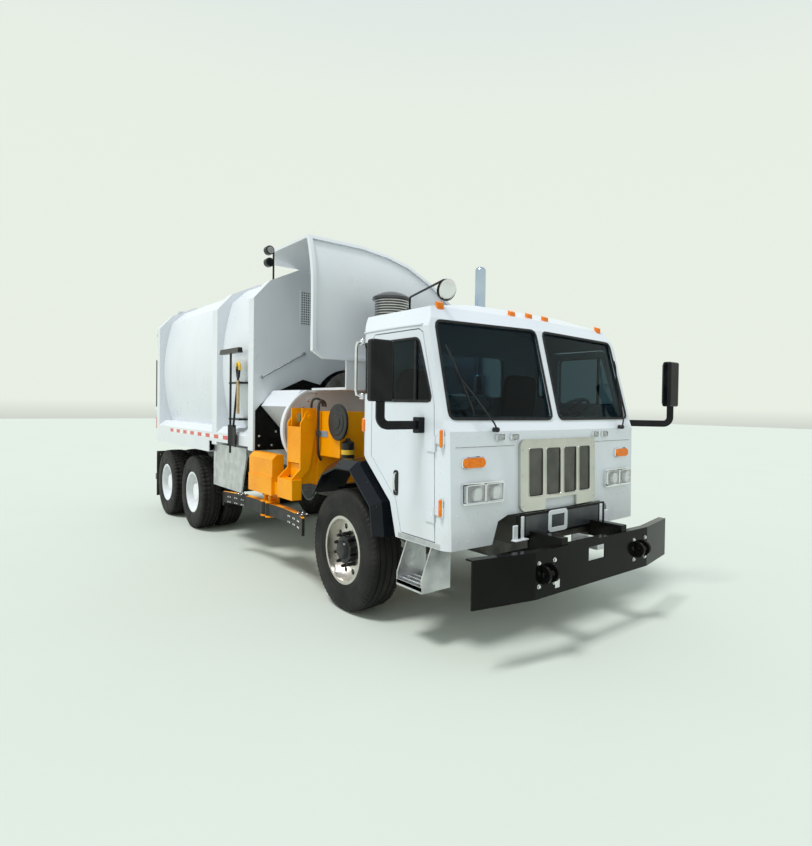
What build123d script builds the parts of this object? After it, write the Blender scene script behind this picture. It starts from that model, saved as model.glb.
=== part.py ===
# Automated side-loading garbage truck: cab-over chassis, tandem rear axles,
# barrel-sided refuse body, side hopper with a screw packer, reaching cart lifter.
# Frame: +X forward, +Y to the driver's left, +Z up. Z = 0 is the ground, and the
# origin is under the middle of the truck's length and width. All sizes in mm.
import os
from math import cos, pi, sin, tan

from build123d import *

os.makedirs("parts", exist_ok=True)

# Driving dimensions of the whole truck
overall_length = 8680
front_overhang = 1930
body_width = 2440
cab_width = 2340
cab_rear_ahead = 170
cab_length = 1300
tailgate_reach = 550
rear_overhang = 1044
wall = 50
sheet = 10
running_gap = 8
seat_gap = 0.3
pin_clearance = 0.05
overrun = 60

front_axle_x = overall_length / 2 - front_overhang
tail_x = -overall_length / 2
body_half = body_width / 2
cab_half = cab_width / 2


def ahead(distance):
    """X of a place that lies this far ahead of the front axle."""
    return front_axle_x + distance


def behind(distance):
    """X of a place that lies this far behind the front axle."""
    return front_axle_x - distance


def spread(shares, low_x, low_y, size_x, size_y):
    """Points of an outline from shares of the box that it fills."""
    return [(low_x + size_x * share_x, low_y + size_y * share_y) for share_x, share_y in shares]


# Wheels and axles
front_tyre_radius = 540
front_tyre_width = 312
front_rim_radius = 292
front_wheel_y = 1072
rear_tyre_radius = 524
rear_tyre_width = 272
rear_rim_radius = 286
rear_wheel_y = 905
twin_spacing = 318
tandem_spacing = 1320
first_rear_axle = overall_length - front_overhang - rear_overhang - tandem_spacing
rim_thickness = 16
flange_height = 20
disc_thickness = 26
hub_radius = 118
spindle_radius = 45

rear_axle_x = [behind(first_rear_axle), behind(first_rear_axle + tandem_spacing)]

# Chassis frame: two channel rails joined by crossmembers
rail_height = 270
rail_flange = 90
rail_web = 14
frame_top = 1000
frame_outer = 430
frame_nose = 30
frame_front_ahead = cab_rear_ahead + cab_length + frame_nose
frame_rear_overhang = 520
frame_front_x = ahead(frame_front_ahead)
frame_rear_x = tail_x + frame_rear_overhang
crossmember_shares = [0.028, 0.243, 0.471, 0.686, 0.857, 1.0]
crossmember_behind = 820
crossmember_nose = 115
crossmember_length = 120
rail_middle_z = frame_top - rail_height / 2

with BuildPart() as frame_rails:
    with BuildSketch(Plane.YZ.offset(frame_rear_x)):
        for side in (-1, 1):
            with Locations((side * (frame_outer - rail_flange / 2), rail_middle_z)):
                Rectangle(rail_flange, rail_height)
            with Locations((side * (frame_outer - rail_web - rail_flange / 2), rail_middle_z)):
                Rectangle(rail_flange, rail_height - 2 * rail_web, mode=Mode.SUBTRACT)
    extrude(amount=frame_front_x - frame_rear_x)
    member_span = behind(crossmember_behind) - frame_rear_x
    member_places = [frame_rear_x + share * member_span for share in crossmember_shares]
    for member_x in member_places + [frame_front_x - crossmember_nose]:
        with BuildSketch(Plane.XY.offset(frame_top - rail_height + rail_web)):
            with Locations((member_x, 0)):
                Rectangle(crossmember_length, 2 * (frame_outer - rail_web))
        extrude(amount=rail_height - 2 * rail_web)
frame_rails.part.label = "frame_rails"
export_step(frame_rails.part, "parts/frame_rails.step")

# Engine, one plain block between the rails under the cab, with feet on the rails
engine_front_ahead = 900
engine_length = 1480
engine_width = 640
engine_bottom = 520
engine_top = 1330
engine_foot_behind = 80
engine_foot_length = 100
engine_foot_height = 40
with BuildPart() as engine_block:
    with BuildSketch(Plane.XY.offset(engine_bottom)):
        with Locations((ahead(engine_front_ahead - engine_length / 2), 0)):
            Rectangle(engine_length, engine_width)
    extrude(amount=engine_top - engine_bottom)
    chamfer(engine_block.edges().filter_by(Axis.X), length=wall)
    with BuildSketch(Plane.XY.offset(frame_top + seat_gap)):
        with Locations((behind(engine_foot_behind), 0)):
            Rectangle(engine_foot_length, 2 * frame_outer)
    extrude(amount=engine_foot_height)
engine_block.part.label = "engine_block"
export_step(engine_block.part, "parts/engine_block.step")

# Front axle: dropped beam with an upright boss at each end for the kingpin
beam_width = 110
beam_depth = 80
beam_bottom = 370
beam_drop_y = 560
kingpin_y = 900
kingpin_radius = 26
boss_radius = 52
boss_height = 156
with BuildPart() as front_axle:
    with BuildSketch(Plane.YZ.offset(front_axle_x - beam_width / 2)):
        with BuildLine():
            Polyline(
                (-kingpin_y, front_tyre_radius + beam_depth / 2),
                (-beam_drop_y - beam_depth, front_tyre_radius - beam_depth / 2),
                (-beam_drop_y, beam_bottom + beam_depth),
                (beam_drop_y, beam_bottom + beam_depth),
                (beam_drop_y + beam_depth, front_tyre_radius - beam_depth / 2),
                (kingpin_y, front_tyre_radius + beam_depth / 2),
                (kingpin_y, front_tyre_radius - beam_depth / 2),
                (beam_drop_y + 2 * beam_depth, front_tyre_radius - 2 * beam_depth),
                (beam_drop_y, beam_bottom),
                (-beam_drop_y, beam_bottom),
                (-beam_drop_y - 2 * beam_depth, front_tyre_radius - 2 * beam_depth),
                (-kingpin_y, front_tyre_radius - beam_depth / 2),
                close=True,
            )
        make_face()
    extrude(amount=beam_width)
    for side in (-1, 1):
        with BuildSketch(Plane.XY.offset(front_tyre_radius - boss_height / 2)):
            with Locations((front_axle_x, side * kingpin_y)):
                Circle(boss_radius)
        extrude(amount=boss_height)
        with BuildSketch(Plane.XY.offset(front_tyre_radius - boss_height / 2)):
            with Locations((front_axle_x, side * kingpin_y)):
                Circle(kingpin_radius + pin_clearance)
        extrude(amount=boss_height, mode=Mode.SUBTRACT)
front_axle.part.label = "front_axle"
export_step(front_axle.part, "parts/front_axle.step")

# Front leaf springs on the axle beam, with a hanger at each end under the rail
spring_width = 76
spring_y = frame_outer - rail_flange / 2
leaf_pack = 70
front_spring_half = 640
hanger_length = 90
front_spring_low = beam_bottom + beam_depth
with BuildPart() as front_spring_pair:
    with BuildSketch(Plane.XZ.offset(-spring_y - spring_width / 2)):
        with BuildLine():
            Polyline(
                (ahead(front_spring_half), frame_top - rail_height),
                (ahead(front_spring_half), front_spring_low + 2 * leaf_pack),
                (ahead(beam_width), front_spring_low + seat_gap),
                (behind(beam_width), front_spring_low + seat_gap),
                (behind(front_spring_half), front_spring_low + 2 * leaf_pack),
                (behind(front_spring_half), frame_top - rail_height),
                (behind(front_spring_half - hanger_length), frame_top - rail_height),
                (behind(front_spring_half - hanger_length), front_spring_low + 3 * leaf_pack),
                (behind(beam_width), front_spring_low + leaf_pack),
                (ahead(beam_width), front_spring_low + leaf_pack),
                (ahead(front_spring_half - hanger_length), front_spring_low + 3 * leaf_pack),
                (ahead(front_spring_half - hanger_length), frame_top - rail_height),
                close=True,
            )
        make_face()
    extrude(amount=spring_width)
    mirror(about=Plane.XZ)

# Rear axles: tube with a differential bowl, spindle at each end
axle_tube_radius = 62
bowl_radius = 185
rear_tube_end = rear_wheel_y - hub_radius
rear_spindle_end = rear_wheel_y + disc_thickness
with BuildPart() as rear_axles:
    for axle_x in rear_axle_x:
        with BuildSketch(Plane.XZ.offset(-rear_tube_end)):
            with Locations((axle_x, rear_tyre_radius)):
                Circle(axle_tube_radius)
        extrude(amount=2 * rear_tube_end)
        with BuildSketch(Plane.XZ.offset(-rear_spindle_end)):
            with Locations((axle_x, rear_tyre_radius)):
                Circle(spindle_radius)
        extrude(amount=2 * rear_spindle_end)
        with Locations((axle_x, 0, rear_tyre_radius)):
            Sphere(bowl_radius)
rear_axles.part.label = "rear_axles"
export_step(rear_axles.part, "parts/rear_axles.step")

# Tandem springs: an arched leaf pack each side from axle to axle, with a trunnion
tandem_middle_x = sum(rear_axle_x) / len(rear_axle_x)
tandem_spring_low = rear_tyre_radius + axle_tube_radius
trunnion_half = 150
with BuildPart() as leaf_springs:
    with BuildSketch(Plane.XZ.offset(-spring_y - spring_width / 2)):
        with BuildLine():
            Polyline(
                (rear_axle_x[0] + leaf_pack, tandem_spring_low + seat_gap),
                (rear_axle_x[0] + leaf_pack, tandem_spring_low + leaf_pack / 2),
                (tandem_middle_x + trunnion_half, frame_top - rail_height),
                (tandem_middle_x - trunnion_half, frame_top - rail_height),
                (rear_axle_x[1] - leaf_pack, tandem_spring_low + leaf_pack / 2),
                (rear_axle_x[1] - leaf_pack, tandem_spring_low + seat_gap),
                (rear_axle_x[1] + leaf_pack, tandem_spring_low + seat_gap),
                (tandem_middle_x - trunnion_half, tandem_spring_low + leaf_pack / 2),
                (tandem_middle_x + trunnion_half, tandem_spring_low + leaf_pack / 2),
                (rear_axle_x[0] - leaf_pack, tandem_spring_low + seat_gap),
                close=True,
            )
        make_face()
    extrude(amount=spring_width)
    mirror(about=Plane.XZ)
    add(front_spring_pair.part)
leaf_springs.part.label = "leaf_springs"
export_step(leaf_springs.part, "parts/leaf_springs.step")

# Tyre section shares: across the width from the inner bead, up the tyre's side
tyre_section_shares = [(0.10, 0), (0, 0.28), (0, 0.62), (0.09, 0.95), (0.2, 1), (0.8, 1), (0.91, 0.95),
                       (1, 0.62), (1, 0.28), (0.90, 0)]


def wheel_plane(axle_x, wheel_z):
    """Upright plane through the axle line: across the truck, then up."""
    return Plane(origin=(axle_x, 0, wheel_z), x_dir=(0, 1, 0), z_dir=(1, 0, 0))


def tyre_section(middle_y, width, bead_radius, outer_radius, rim_half):
    """Face of one tyre's section, across the truck and up, with its beads between the rim flanges."""
    points = spread(tyre_section_shares, middle_y - width / 2, bead_radius, width,
                    outer_radius - bead_radius)
    with BuildSketch() as section:
        with BuildLine():
            Polyline(*points, close=True)
        make_face()
        with Locations((middle_y, bead_radius + flange_height / 2)):
            Rectangle(width, flange_height + 2 * seat_gap, mode=Mode.SUBTRACT)
        with Locations((middle_y, bead_radius + flange_height / 2 + seat_gap)):
            Rectangle(2 * (rim_half - seat_gap), flange_height + 2 * seat_gap)
    return section.sketch_local


# Steered wheels: knuckle, alloy wheel with hand holes, tyre
front_rim_half = 125
ear_gap = 6
ear_thickness = 34
ear_top = boss_height / 2 + ear_gap + ear_thickness
knuckle_face_y = kingpin_y + boss_radius + ear_gap
front_spindle_end = front_wheel_y + 30
front_disc_y = front_wheel_y + 52
hand_hole_radius = 26
hand_hole_circle = 205
hand_hole_count = 10
for side, word in ((-1, "right"), (1, "left")):
    with BuildPart() as knuckle:
        with BuildSketch(Plane.XY.offset(front_tyre_radius - ear_top)):
            with Locations((front_axle_x, side * kingpin_y)):
                Circle(kingpin_radius)
        extrude(amount=2 * ear_top)
        for ear_z in (front_tyre_radius - ear_top, front_tyre_radius + ear_top - ear_thickness):
            with BuildSketch(Plane.XY.offset(ear_z)):
                with Locations((front_axle_x, side * kingpin_y)):
                    Circle(boss_radius)
                with Locations((front_axle_x, side * (kingpin_y + knuckle_face_y + ear_thickness) / 2)):
                    Rectangle(boss_radius * 2, knuckle_face_y + ear_thickness - kingpin_y)
            extrude(amount=ear_thickness)
        with BuildSketch(Plane.XY.offset(front_tyre_radius - ear_top)):
            with Locations((front_axle_x, side * (knuckle_face_y + ear_thickness / 2))):
                Rectangle(boss_radius * 2, ear_thickness)
        extrude(amount=2 * ear_top)
        with BuildSketch(wheel_plane(front_axle_x, front_tyre_radius)):
            with Locations((side * (knuckle_face_y + front_spindle_end) / 2, spindle_radius / 2)):
                Rectangle(front_spindle_end - knuckle_face_y, spindle_radius)
        revolve(axis=Axis((front_axle_x, 0, front_tyre_radius), (0, 1, 0)))
    knuckle.part.label = f"knuckle_{word}"
    export_step(knuckle.part, f"parts/knuckle_{word}.step")

    with BuildPart() as rim:
        with BuildSketch(wheel_plane(front_axle_x, front_tyre_radius)):
            # barrel, two flanges, disc near the outer face and the hub around the spindle
            with Locations((side * front_wheel_y, front_rim_radius - rim_thickness / 2)):
                Rectangle(2 * front_rim_half, rim_thickness)
            for edge in (-1, 1):
                with Locations((side * front_wheel_y + edge * (front_rim_half + rim_thickness / 2),
                                front_rim_radius - rim_thickness + (flange_height + rim_thickness) / 2)):
                    Rectangle(rim_thickness, flange_height + rim_thickness)
            with Locations((side * front_disc_y, front_rim_radius / 2)):
                Rectangle(disc_thickness, front_rim_radius - rim_thickness / 2)
            with Locations((side * (knuckle_face_y + ear_thickness + ear_gap
                                    + front_wheel_y + front_rim_half) / 2,
                            hub_radius / 2)):
                Rectangle(front_wheel_y + front_rim_half - knuckle_face_y - ear_thickness - ear_gap,
                          hub_radius)
            with Locations((side * (knuckle_face_y + front_spindle_end + ear_gap) / 2,
                            (spindle_radius + pin_clearance) / 2)):
                Rectangle(front_spindle_end + ear_gap - knuckle_face_y, spindle_radius + pin_clearance,
                          mode=Mode.SUBTRACT)
        revolve(axis=Axis((front_axle_x, 0, front_tyre_radius), (0, 1, 0)))
        with BuildSketch(Plane.XZ.offset(-side * front_disc_y - disc_thickness)):
            with Locations((front_axle_x, front_tyre_radius)):
                with PolarLocations(hand_hole_circle, hand_hole_count):
                    Circle(hand_hole_radius)
        extrude(amount=2 * disc_thickness, mode=Mode.SUBTRACT)
    rim.part.label = f"rim_front_{word}"
    export_step(rim.part, f"parts/rim_front_{word}.step")

    with BuildPart() as tyre:
        with BuildSketch(wheel_plane(front_axle_x, front_tyre_radius)):
            add(tyre_section(side * front_wheel_y, front_tyre_width, front_rim_radius + seat_gap,
                             front_tyre_radius, front_rim_half))
        revolve(axis=Axis((front_axle_x, 0, front_tyre_radius), (0, 1, 0)))
    tyre.part.label = f"tyre_front_{word}"
    export_step(tyre.part, f"parts/tyre_front_{word}.step")

# Twin rear wheels: two deep rims back to back on one hub, and two tyres
rear_rim_half = 105
rear_hub_reach = 235
for number, axle_x in enumerate(rear_axle_x, start=1):
    for side, word in ((-1, "right"), (1, "left")):
        inner_y = side * (rear_wheel_y - twin_spacing / 2)
        outer_y = side * (rear_wheel_y + twin_spacing / 2)
        middle_y = side * rear_wheel_y
        spin_axis = Axis((axle_x, 0, rear_tyre_radius), (0, 1, 0))
        with BuildPart() as rims:
            with BuildSketch(wheel_plane(axle_x, rear_tyre_radius)):
                for rim_y in (inner_y, outer_y):
                    with Locations((rim_y, rear_rim_radius - rim_thickness / 2)):
                        Rectangle(2 * rear_rim_half, rim_thickness)
                    for edge in (-1, 1):
                        with Locations((rim_y + edge * (rear_rim_half + rim_thickness / 2),
                                        rear_rim_radius - rim_thickness
                                        + (flange_height + rim_thickness) / 2)):
                            Rectangle(rim_thickness, flange_height + rim_thickness)
                # the two discs bolt together midway, and cone out to their barrels
                for edge in (-1, 1):
                    with BuildLine():
                        Polyline(
                            (middle_y, hub_radius / 2),
                            (middle_y + edge * disc_thickness, hub_radius / 2),
                            (middle_y + edge * disc_thickness, rear_rim_radius - 2 * flange_height),
                            (middle_y + edge * (twin_spacing / 2 - rear_rim_half),
                             rear_rim_radius - rim_thickness),
                            (middle_y + edge * (twin_spacing / 2 - rear_rim_half), rear_rim_radius),
                            (middle_y, rear_rim_radius - disc_thickness),
                            close=True,
                        )
                    make_face()
                with Locations((middle_y, hub_radius / 2)):
                    Rectangle(2 * (rear_wheel_y - rear_tube_end - ear_gap), hub_radius)
                with Locations((middle_y + side * rear_hub_reach / 2, hub_radius / 2)):
                    Rectangle(rear_hub_reach, hub_radius)
                with Locations((side * (rear_tube_end + rear_spindle_end + ear_gap) / 2,
                                (spindle_radius + pin_clearance) / 2)):
                    Rectangle(rear_spindle_end + ear_gap - rear_tube_end, spindle_radius + pin_clearance,
                              mode=Mode.SUBTRACT)
            revolve(axis=spin_axis)
        rims.part.label = f"rims_rear_{number}_{word}"
        export_step(rims.part, f"parts/rims_rear_{number}_{word}.step")

        with BuildPart() as tyres:
            with BuildSketch(wheel_plane(axle_x, rear_tyre_radius)):
                for tyre_y in (inner_y, outer_y):
                    add(tyre_section(tyre_y, rear_tyre_width, rear_rim_radius + seat_gap,
                                     rear_tyre_radius, rear_rim_half))
            revolve(axis=spin_axis)
        tyres.part.label = f"tyres_rear_{number}_{word}"
        export_step(tyres.part, f"parts/tyres_rear_{number}_{word}.step")

# Front bumper: deep plate whose ends sweep back, with a shelf, two arms to the rails
# and a pair of round-nosed lugs each side, bored for a tow pin
bumper_bottom = 470
hook_reach = 80
bumper_front_ahead = front_overhang - hook_reach
bumper_top = 810
bumper_end_ahead = 1735
bumper_bend_y = 720
bumper_plate = 12
bumper_shelf = 70
bumper_hole_width = 210
bumper_hole_height = 110
bumper_hole_z = 700
bumper_arm_width = 70
apron_half = 560
apron_bottom = 815
apron_top = 1004
apron_plate = 12
hook_y = 600
hook_z = 640
hook_height = 130
hook_lug = 24
hook_lug_spacing = 90
hook_root = 90
hook_bore_radius = 19
hook_bore_setback = 50
with BuildPart() as front_bumper:
    with BuildSketch(Plane.XY.offset(bumper_bottom)):
        with BuildLine():
            Polyline(
                (ahead(bumper_end_ahead), -body_half),
                (ahead(bumper_front_ahead), -bumper_bend_y),
                (ahead(bumper_front_ahead), bumper_bend_y),
                (ahead(bumper_end_ahead), body_half),
                (ahead(bumper_end_ahead - bumper_plate), body_half),
                (ahead(bumper_front_ahead - bumper_plate), bumper_bend_y),
                (ahead(bumper_front_ahead - bumper_plate), -bumper_bend_y),
                (ahead(bumper_end_ahead - bumper_plate), -body_half),
                close=True,
            )
        make_face()
    extrude(amount=bumper_top - bumper_bottom)
    with BuildSketch(Plane.XY.offset(bumper_top - bumper_plate)):
        with BuildLine():
            Polyline(
                (ahead(bumper_end_ahead - bumper_plate / 2), -body_half),
                (ahead(bumper_front_ahead - bumper_plate / 2), -bumper_bend_y),
                (ahead(bumper_front_ahead - bumper_plate / 2), bumper_bend_y),
                (ahead(bumper_end_ahead - bumper_plate / 2), body_half),
                (ahead(bumper_end_ahead - bumper_shelf), body_half),
                (ahead(bumper_front_ahead - bumper_shelf), bumper_bend_y),
                (ahead(bumper_front_ahead - bumper_shelf), -bumper_bend_y),
                (ahead(bumper_end_ahead - bumper_shelf), -body_half),
                close=True,
            )
        make_face()
    extrude(amount=bumper_plate)
    for side in (-1, 1):
        with BuildSketch(Plane.YZ.offset(frame_front_x)):
            with Locations((side * spring_y, rail_middle_z - rail_height / 4)):
                Rectangle(bumper_arm_width, rail_height / 2)
        extrude(amount=ahead(bumper_front_ahead - bumper_plate) - frame_front_x)
    with BuildSketch(Plane.YZ.offset(ahead(bumper_front_ahead - bumper_shelf))):
        with Locations((0, bumper_hole_z)):
            Rectangle(bumper_hole_width, bumper_hole_height)
    extrude(amount=bumper_shelf + overrun, mode=Mode.SUBTRACT)
    for side in (-1, 1):
        for edge in (-1, 1):
            lug_y = side * hook_y + edge * hook_lug_spacing / 2
            with BuildSketch(Plane.XZ.offset(-lug_y - hook_lug / 2)):
                with Locations((ahead(front_overhang - hook_height / 2), hook_z)):
                    Circle(hook_height / 2)
                with Locations((ahead(front_overhang - hook_height / 2) - hook_root / 2, hook_z)):
                    Rectangle(hook_root, hook_height)
                with Locations((ahead(front_overhang - hook_bore_setback), hook_z)):
                    Circle(hook_bore_radius, mode=Mode.SUBTRACT)
            extrude(amount=hook_lug)
    # apron plate across the rails' ends
    with BuildSketch(Plane.YZ.offset(frame_front_x + seat_gap)):
        with Locations((0, (apron_bottom + apron_top) / 2)):
            Rectangle(2 * apron_half, apron_top - apron_bottom)
    extrude(amount=apron_plate)
front_bumper.part.label = "front_bumper"
export_step(front_bumper.part, "parts/front_bumper.step")

# Cab block: plan, side view and front view cut each other
cab_bottom = 790
cab_height = 1910
cab_corner = 150
cab_crown_angle = 2.7
cab_side_shares = [(1.0, 0), (0.985, 0.450), (0.954, 0.492), (0.788, 0.893), (0.731, 0.948), (0.608, 0.990),
                   (0.331, 1.0), (0.046, 0.984), (-0.1, 0.927), (-0.1, 0.319), (0.123, 0.319), (0.435,
                                                                                                0.141),
                   (0.5, 0)]
cab_front_shares = [(-1, 0), (-1, 0.86), (-0.93, 0.945), (-0.5, 0.988), (0, 1.0), (0.5, 0.988),
                    (0.93, 0.945),
                    (1, 0.86), (1, 0)]
cab_middle_x = ahead(cab_rear_ahead + cab_length / 2)
cab_top = cab_bottom + cab_height


def cab_block(inset):
    """Solid outer form of the cab, with every face moved in by the inset."""
    side_points = spread(cab_side_shares, ahead(cab_rear_ahead), cab_bottom, cab_length, cab_height)
    front_points = spread(cab_front_shares, 0, cab_bottom, cab_half, cab_height)
    with BuildPart() as block:
        with BuildSketch(Plane.XY.offset(cab_bottom)):
            with Locations((cab_middle_x, 0)):
                RectangleRounded(cab_length - 2 * inset, cab_width - 2 * inset, cab_corner - inset)
        extrude(amount=cab_height)
        with BuildSketch(Plane.YZ.offset(ahead(0))):
            with BuildLine():
                Polyline(*front_points, close=True)
            make_face()
            offset(amount=-inset, kind=Kind.INTERSECTION)
        extrude(amount=cab_rear_ahead + cab_length + overrun, mode=Mode.INTERSECT)
        with BuildPart(mode=Mode.PRIVATE) as sides:
            for side in (-1, 1):
                with BuildSketch(Plane.XZ):
                    with BuildLine():
                        Polyline(*side_points, close=True)
                    make_face()
                    offset(amount=-inset, kind=Kind.INTERSECTION)
                extrude(amount=cab_half + overrun, dir=(-tan(cab_crown_angle * pi / 180), side, 0))
        add(sides.part, mode=Mode.INTERSECT)
    return block.part


cab_outer = cab_block(0)
cab_inner = cab_block(wall)

# Door outline, its window and the openings of the cab, in shares of the cab's side view
door_shares = [(0.846, 0.022), (0.823, 0.555), (0.708, 0.838), (0.669, 0.853), (0.200, 0.853),
               (0.169, 0.832),
               (0.169, 0.322), (0.453, 0.155), (0.510, 0.024)]
door_window_shares = [(0.800, 0.565), (0.669, 0.815), (0.235, 0.815), (0.235, 0.565)]
corner_window_shares = [(0.030, 0.602), (0.130, 0.602), (0.130, 0.817), (0.030, 0.817)]
windscreen_shares = [(0.035, 0.495), (0.955, 0.497), (0.945, 0.885), (0.035, 0.893)]
rear_window_half = 560
rear_window_bottom = 1930
rear_window_top = 2330
glass_depth = 18
glass_thickness = 8
window_corner = 45
tunnel_half = 372
tunnel_top = 1395
tunnel_front_ahead = 960
notch_top = frame_top + seat_gap
notch_share = (notch_top - cab_bottom) / cab_height
notch_shares = [(-0.641, 0), (-0.590, 0.089), (-0.504, notch_share), (0.504, notch_share),
                (0.590, 0.089), (0.641, 0)]


def side_prism(side, shares, shrink, corner, depth):
    """Slab at one side of the cab from an outline in shares of the cab's side view."""
    points = spread(shares, ahead(cab_rear_ahead), cab_bottom, cab_length, cab_height)
    with BuildPart() as prism:
        with BuildSketch(Plane.XZ.offset(-side * (cab_half - depth))):
            with BuildLine():
                Polyline(*points, close=True)
            make_face()
            if corner:
                fillet(vertices(), radius=corner)
            if shrink:
                offset(amount=-shrink)
        extrude(amount=-side * (depth + overrun))
    return prism.part


def notch_prism(grow):
    """Channel along the cab that clears the frame rails and the radiator."""
    points = spread(notch_shares, 0, cab_bottom, cab_half, cab_height)
    with BuildPart() as prism:
        with BuildSketch(Plane.YZ.offset(ahead(cab_rear_ahead - overrun))):
            with BuildLine():
                Polyline(*points, close=True)
            make_face()
            if grow:
                offset(amount=grow, kind=Kind.INTERSECTION)
        extrude(amount=cab_length + 2 * overrun)
    return prism.part


def screen_prism(shrink):
    """Prism along the truck through both panes of the windscreen."""
    with BuildPart() as prism:
        with BuildSketch(Plane.YZ.offset(ahead(cab_length / 2 + cab_rear_ahead))):
            for side in (-1, 1):
                points = spread(windscreen_shares, 0, cab_bottom, side * cab_half, cab_height)
                with BuildLine():
                    Polyline(*points, close=True)
                make_face()
            fillet(vertices(), radius=window_corner)
            if shrink:
                offset(amount=-shrink)
        extrude(amount=cab_length)
    return prism.part


door_hinge_ahead = cab_rear_ahead + door_shares[0][0] * cab_length - running_gap
door_hinge_y = cab_half + 12
knuckle_radius = 11
knuckle_length = 60
leaf_length = 100
leaf_plate = 6
hinge_lows = [980, 1500]


def side_hinge(side, low, toward):
    """Half of a door hinge: a knuckle on the axis and a leaf that lies on the skin."""
    leaf_start = ahead(door_hinge_ahead)
    leaf_middle_y = side * (cab_half + (door_hinge_y - cab_half) / 2)
    foot_start = ahead(door_hinge_ahead + toward * leaf_length / 3)
    with BuildPart() as half:
        with BuildSketch(Plane.XY.offset(low)):
            with Locations((ahead(door_hinge_ahead), side * door_hinge_y)):
                Circle(knuckle_radius)
            with Locations((leaf_start + toward * leaf_length / 2, leaf_middle_y)):
                Rectangle(leaf_length, leaf_plate)
            with Locations((foot_start + toward * leaf_length / 3, side * cab_half)):
                Rectangle(2 * leaf_length / 3, leaf_plate + 2 * (door_hinge_y - cab_half) / 3)
        extrude(amount=knuckle_length)
    return half.part


with BuildPart() as cab_cavity:
    add(cab_inner)
    add(notch_prism(wall), mode=Mode.SUBTRACT)

cover_wall = 20
cover_front_ahead = tunnel_front_ahead + cover_wall
cover_top = 1500
with BuildPart() as engine_cover:
    with BuildSketch(Plane.XY.offset(notch_top)):
        with Locations((ahead(cover_front_ahead / 2), 0)):
            Rectangle(cover_front_ahead, 2 * (tunnel_half + cover_wall))
    extrude(amount=cover_top - notch_top)
    add(cab_outer, mode=Mode.INTERSECT)

with BuildPart() as cab_shell:
    add(cab_outer)
    add(cab_cavity.part, mode=Mode.SUBTRACT)
    add(notch_prism(0), mode=Mode.SUBTRACT)
    for side in (-1, 1):
        for low in hinge_lows:
            add(side_hinge(side, low + knuckle_length + seat_gap, 1))
        add(side_prism(side, door_shares, 0, 0, wall), mode=Mode.SUBTRACT)
        add(side_prism(side, corner_window_shares, 0, window_corner, 2 * wall), mode=Mode.SUBTRACT)
    add(screen_prism(0), mode=Mode.SUBTRACT)
    add(engine_cover.part)
    # rear window, and the opening over the engine
    with BuildSketch(Plane.YZ.offset(ahead(cab_rear_ahead - overrun))):
        with Locations((0, (rear_window_bottom + rear_window_top) / 2)):
            RectangleRounded(2 * rear_window_half, rear_window_top - rear_window_bottom, window_corner)
    extrude(amount=wall + 2 * overrun, mode=Mode.SUBTRACT)
    with BuildSketch(Plane.XY.offset(cab_bottom - overrun)):
        with Locations((ahead(tunnel_front_ahead / 2), 0)):
            Rectangle(tunnel_front_ahead, 2 * tunnel_half)
    extrude(amount=tunnel_top + overrun - cab_bottom, mode=Mode.SUBTRACT)
cab_shell.part.label = "cab_shell"
export_step(cab_shell.part, "parts/cab_shell.step")

# Windscreen panes and the fixed rear glasses, set into the wall
glass_outer = cab_block(glass_depth)
glass_inner = cab_block(glass_depth + glass_thickness)
with BuildPart() as screen_panes:
    add(glass_outer)
    add(glass_inner, mode=Mode.SUBTRACT)
    add(screen_prism(seat_gap), mode=Mode.INTERSECT)

with BuildPart() as cab_glass:
    with BuildSketch(Plane.YZ.offset(ahead(cab_rear_ahead + glass_depth))):
        with Locations((0, (rear_window_bottom + rear_window_top) / 2)):
            RectangleRounded(2 * (rear_window_half - seat_gap),
                             rear_window_top - rear_window_bottom - 2 * seat_gap,
                             window_corner)
    extrude(amount=glass_thickness)
    add(screen_panes.part)
    for side in (-1, 1):
        with BuildPart(mode=Mode.PRIVATE) as pane:
            add(glass_outer)
            add(glass_inner, mode=Mode.SUBTRACT)
            add(side_prism(side, corner_window_shares, seat_gap, window_corner, 2 * wall),
                mode=Mode.INTERSECT)
        add(pane.part)
cab_glass.part.label = "cab_glass"
export_step(cab_glass.part, "parts/cab_glass.step")

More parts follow.
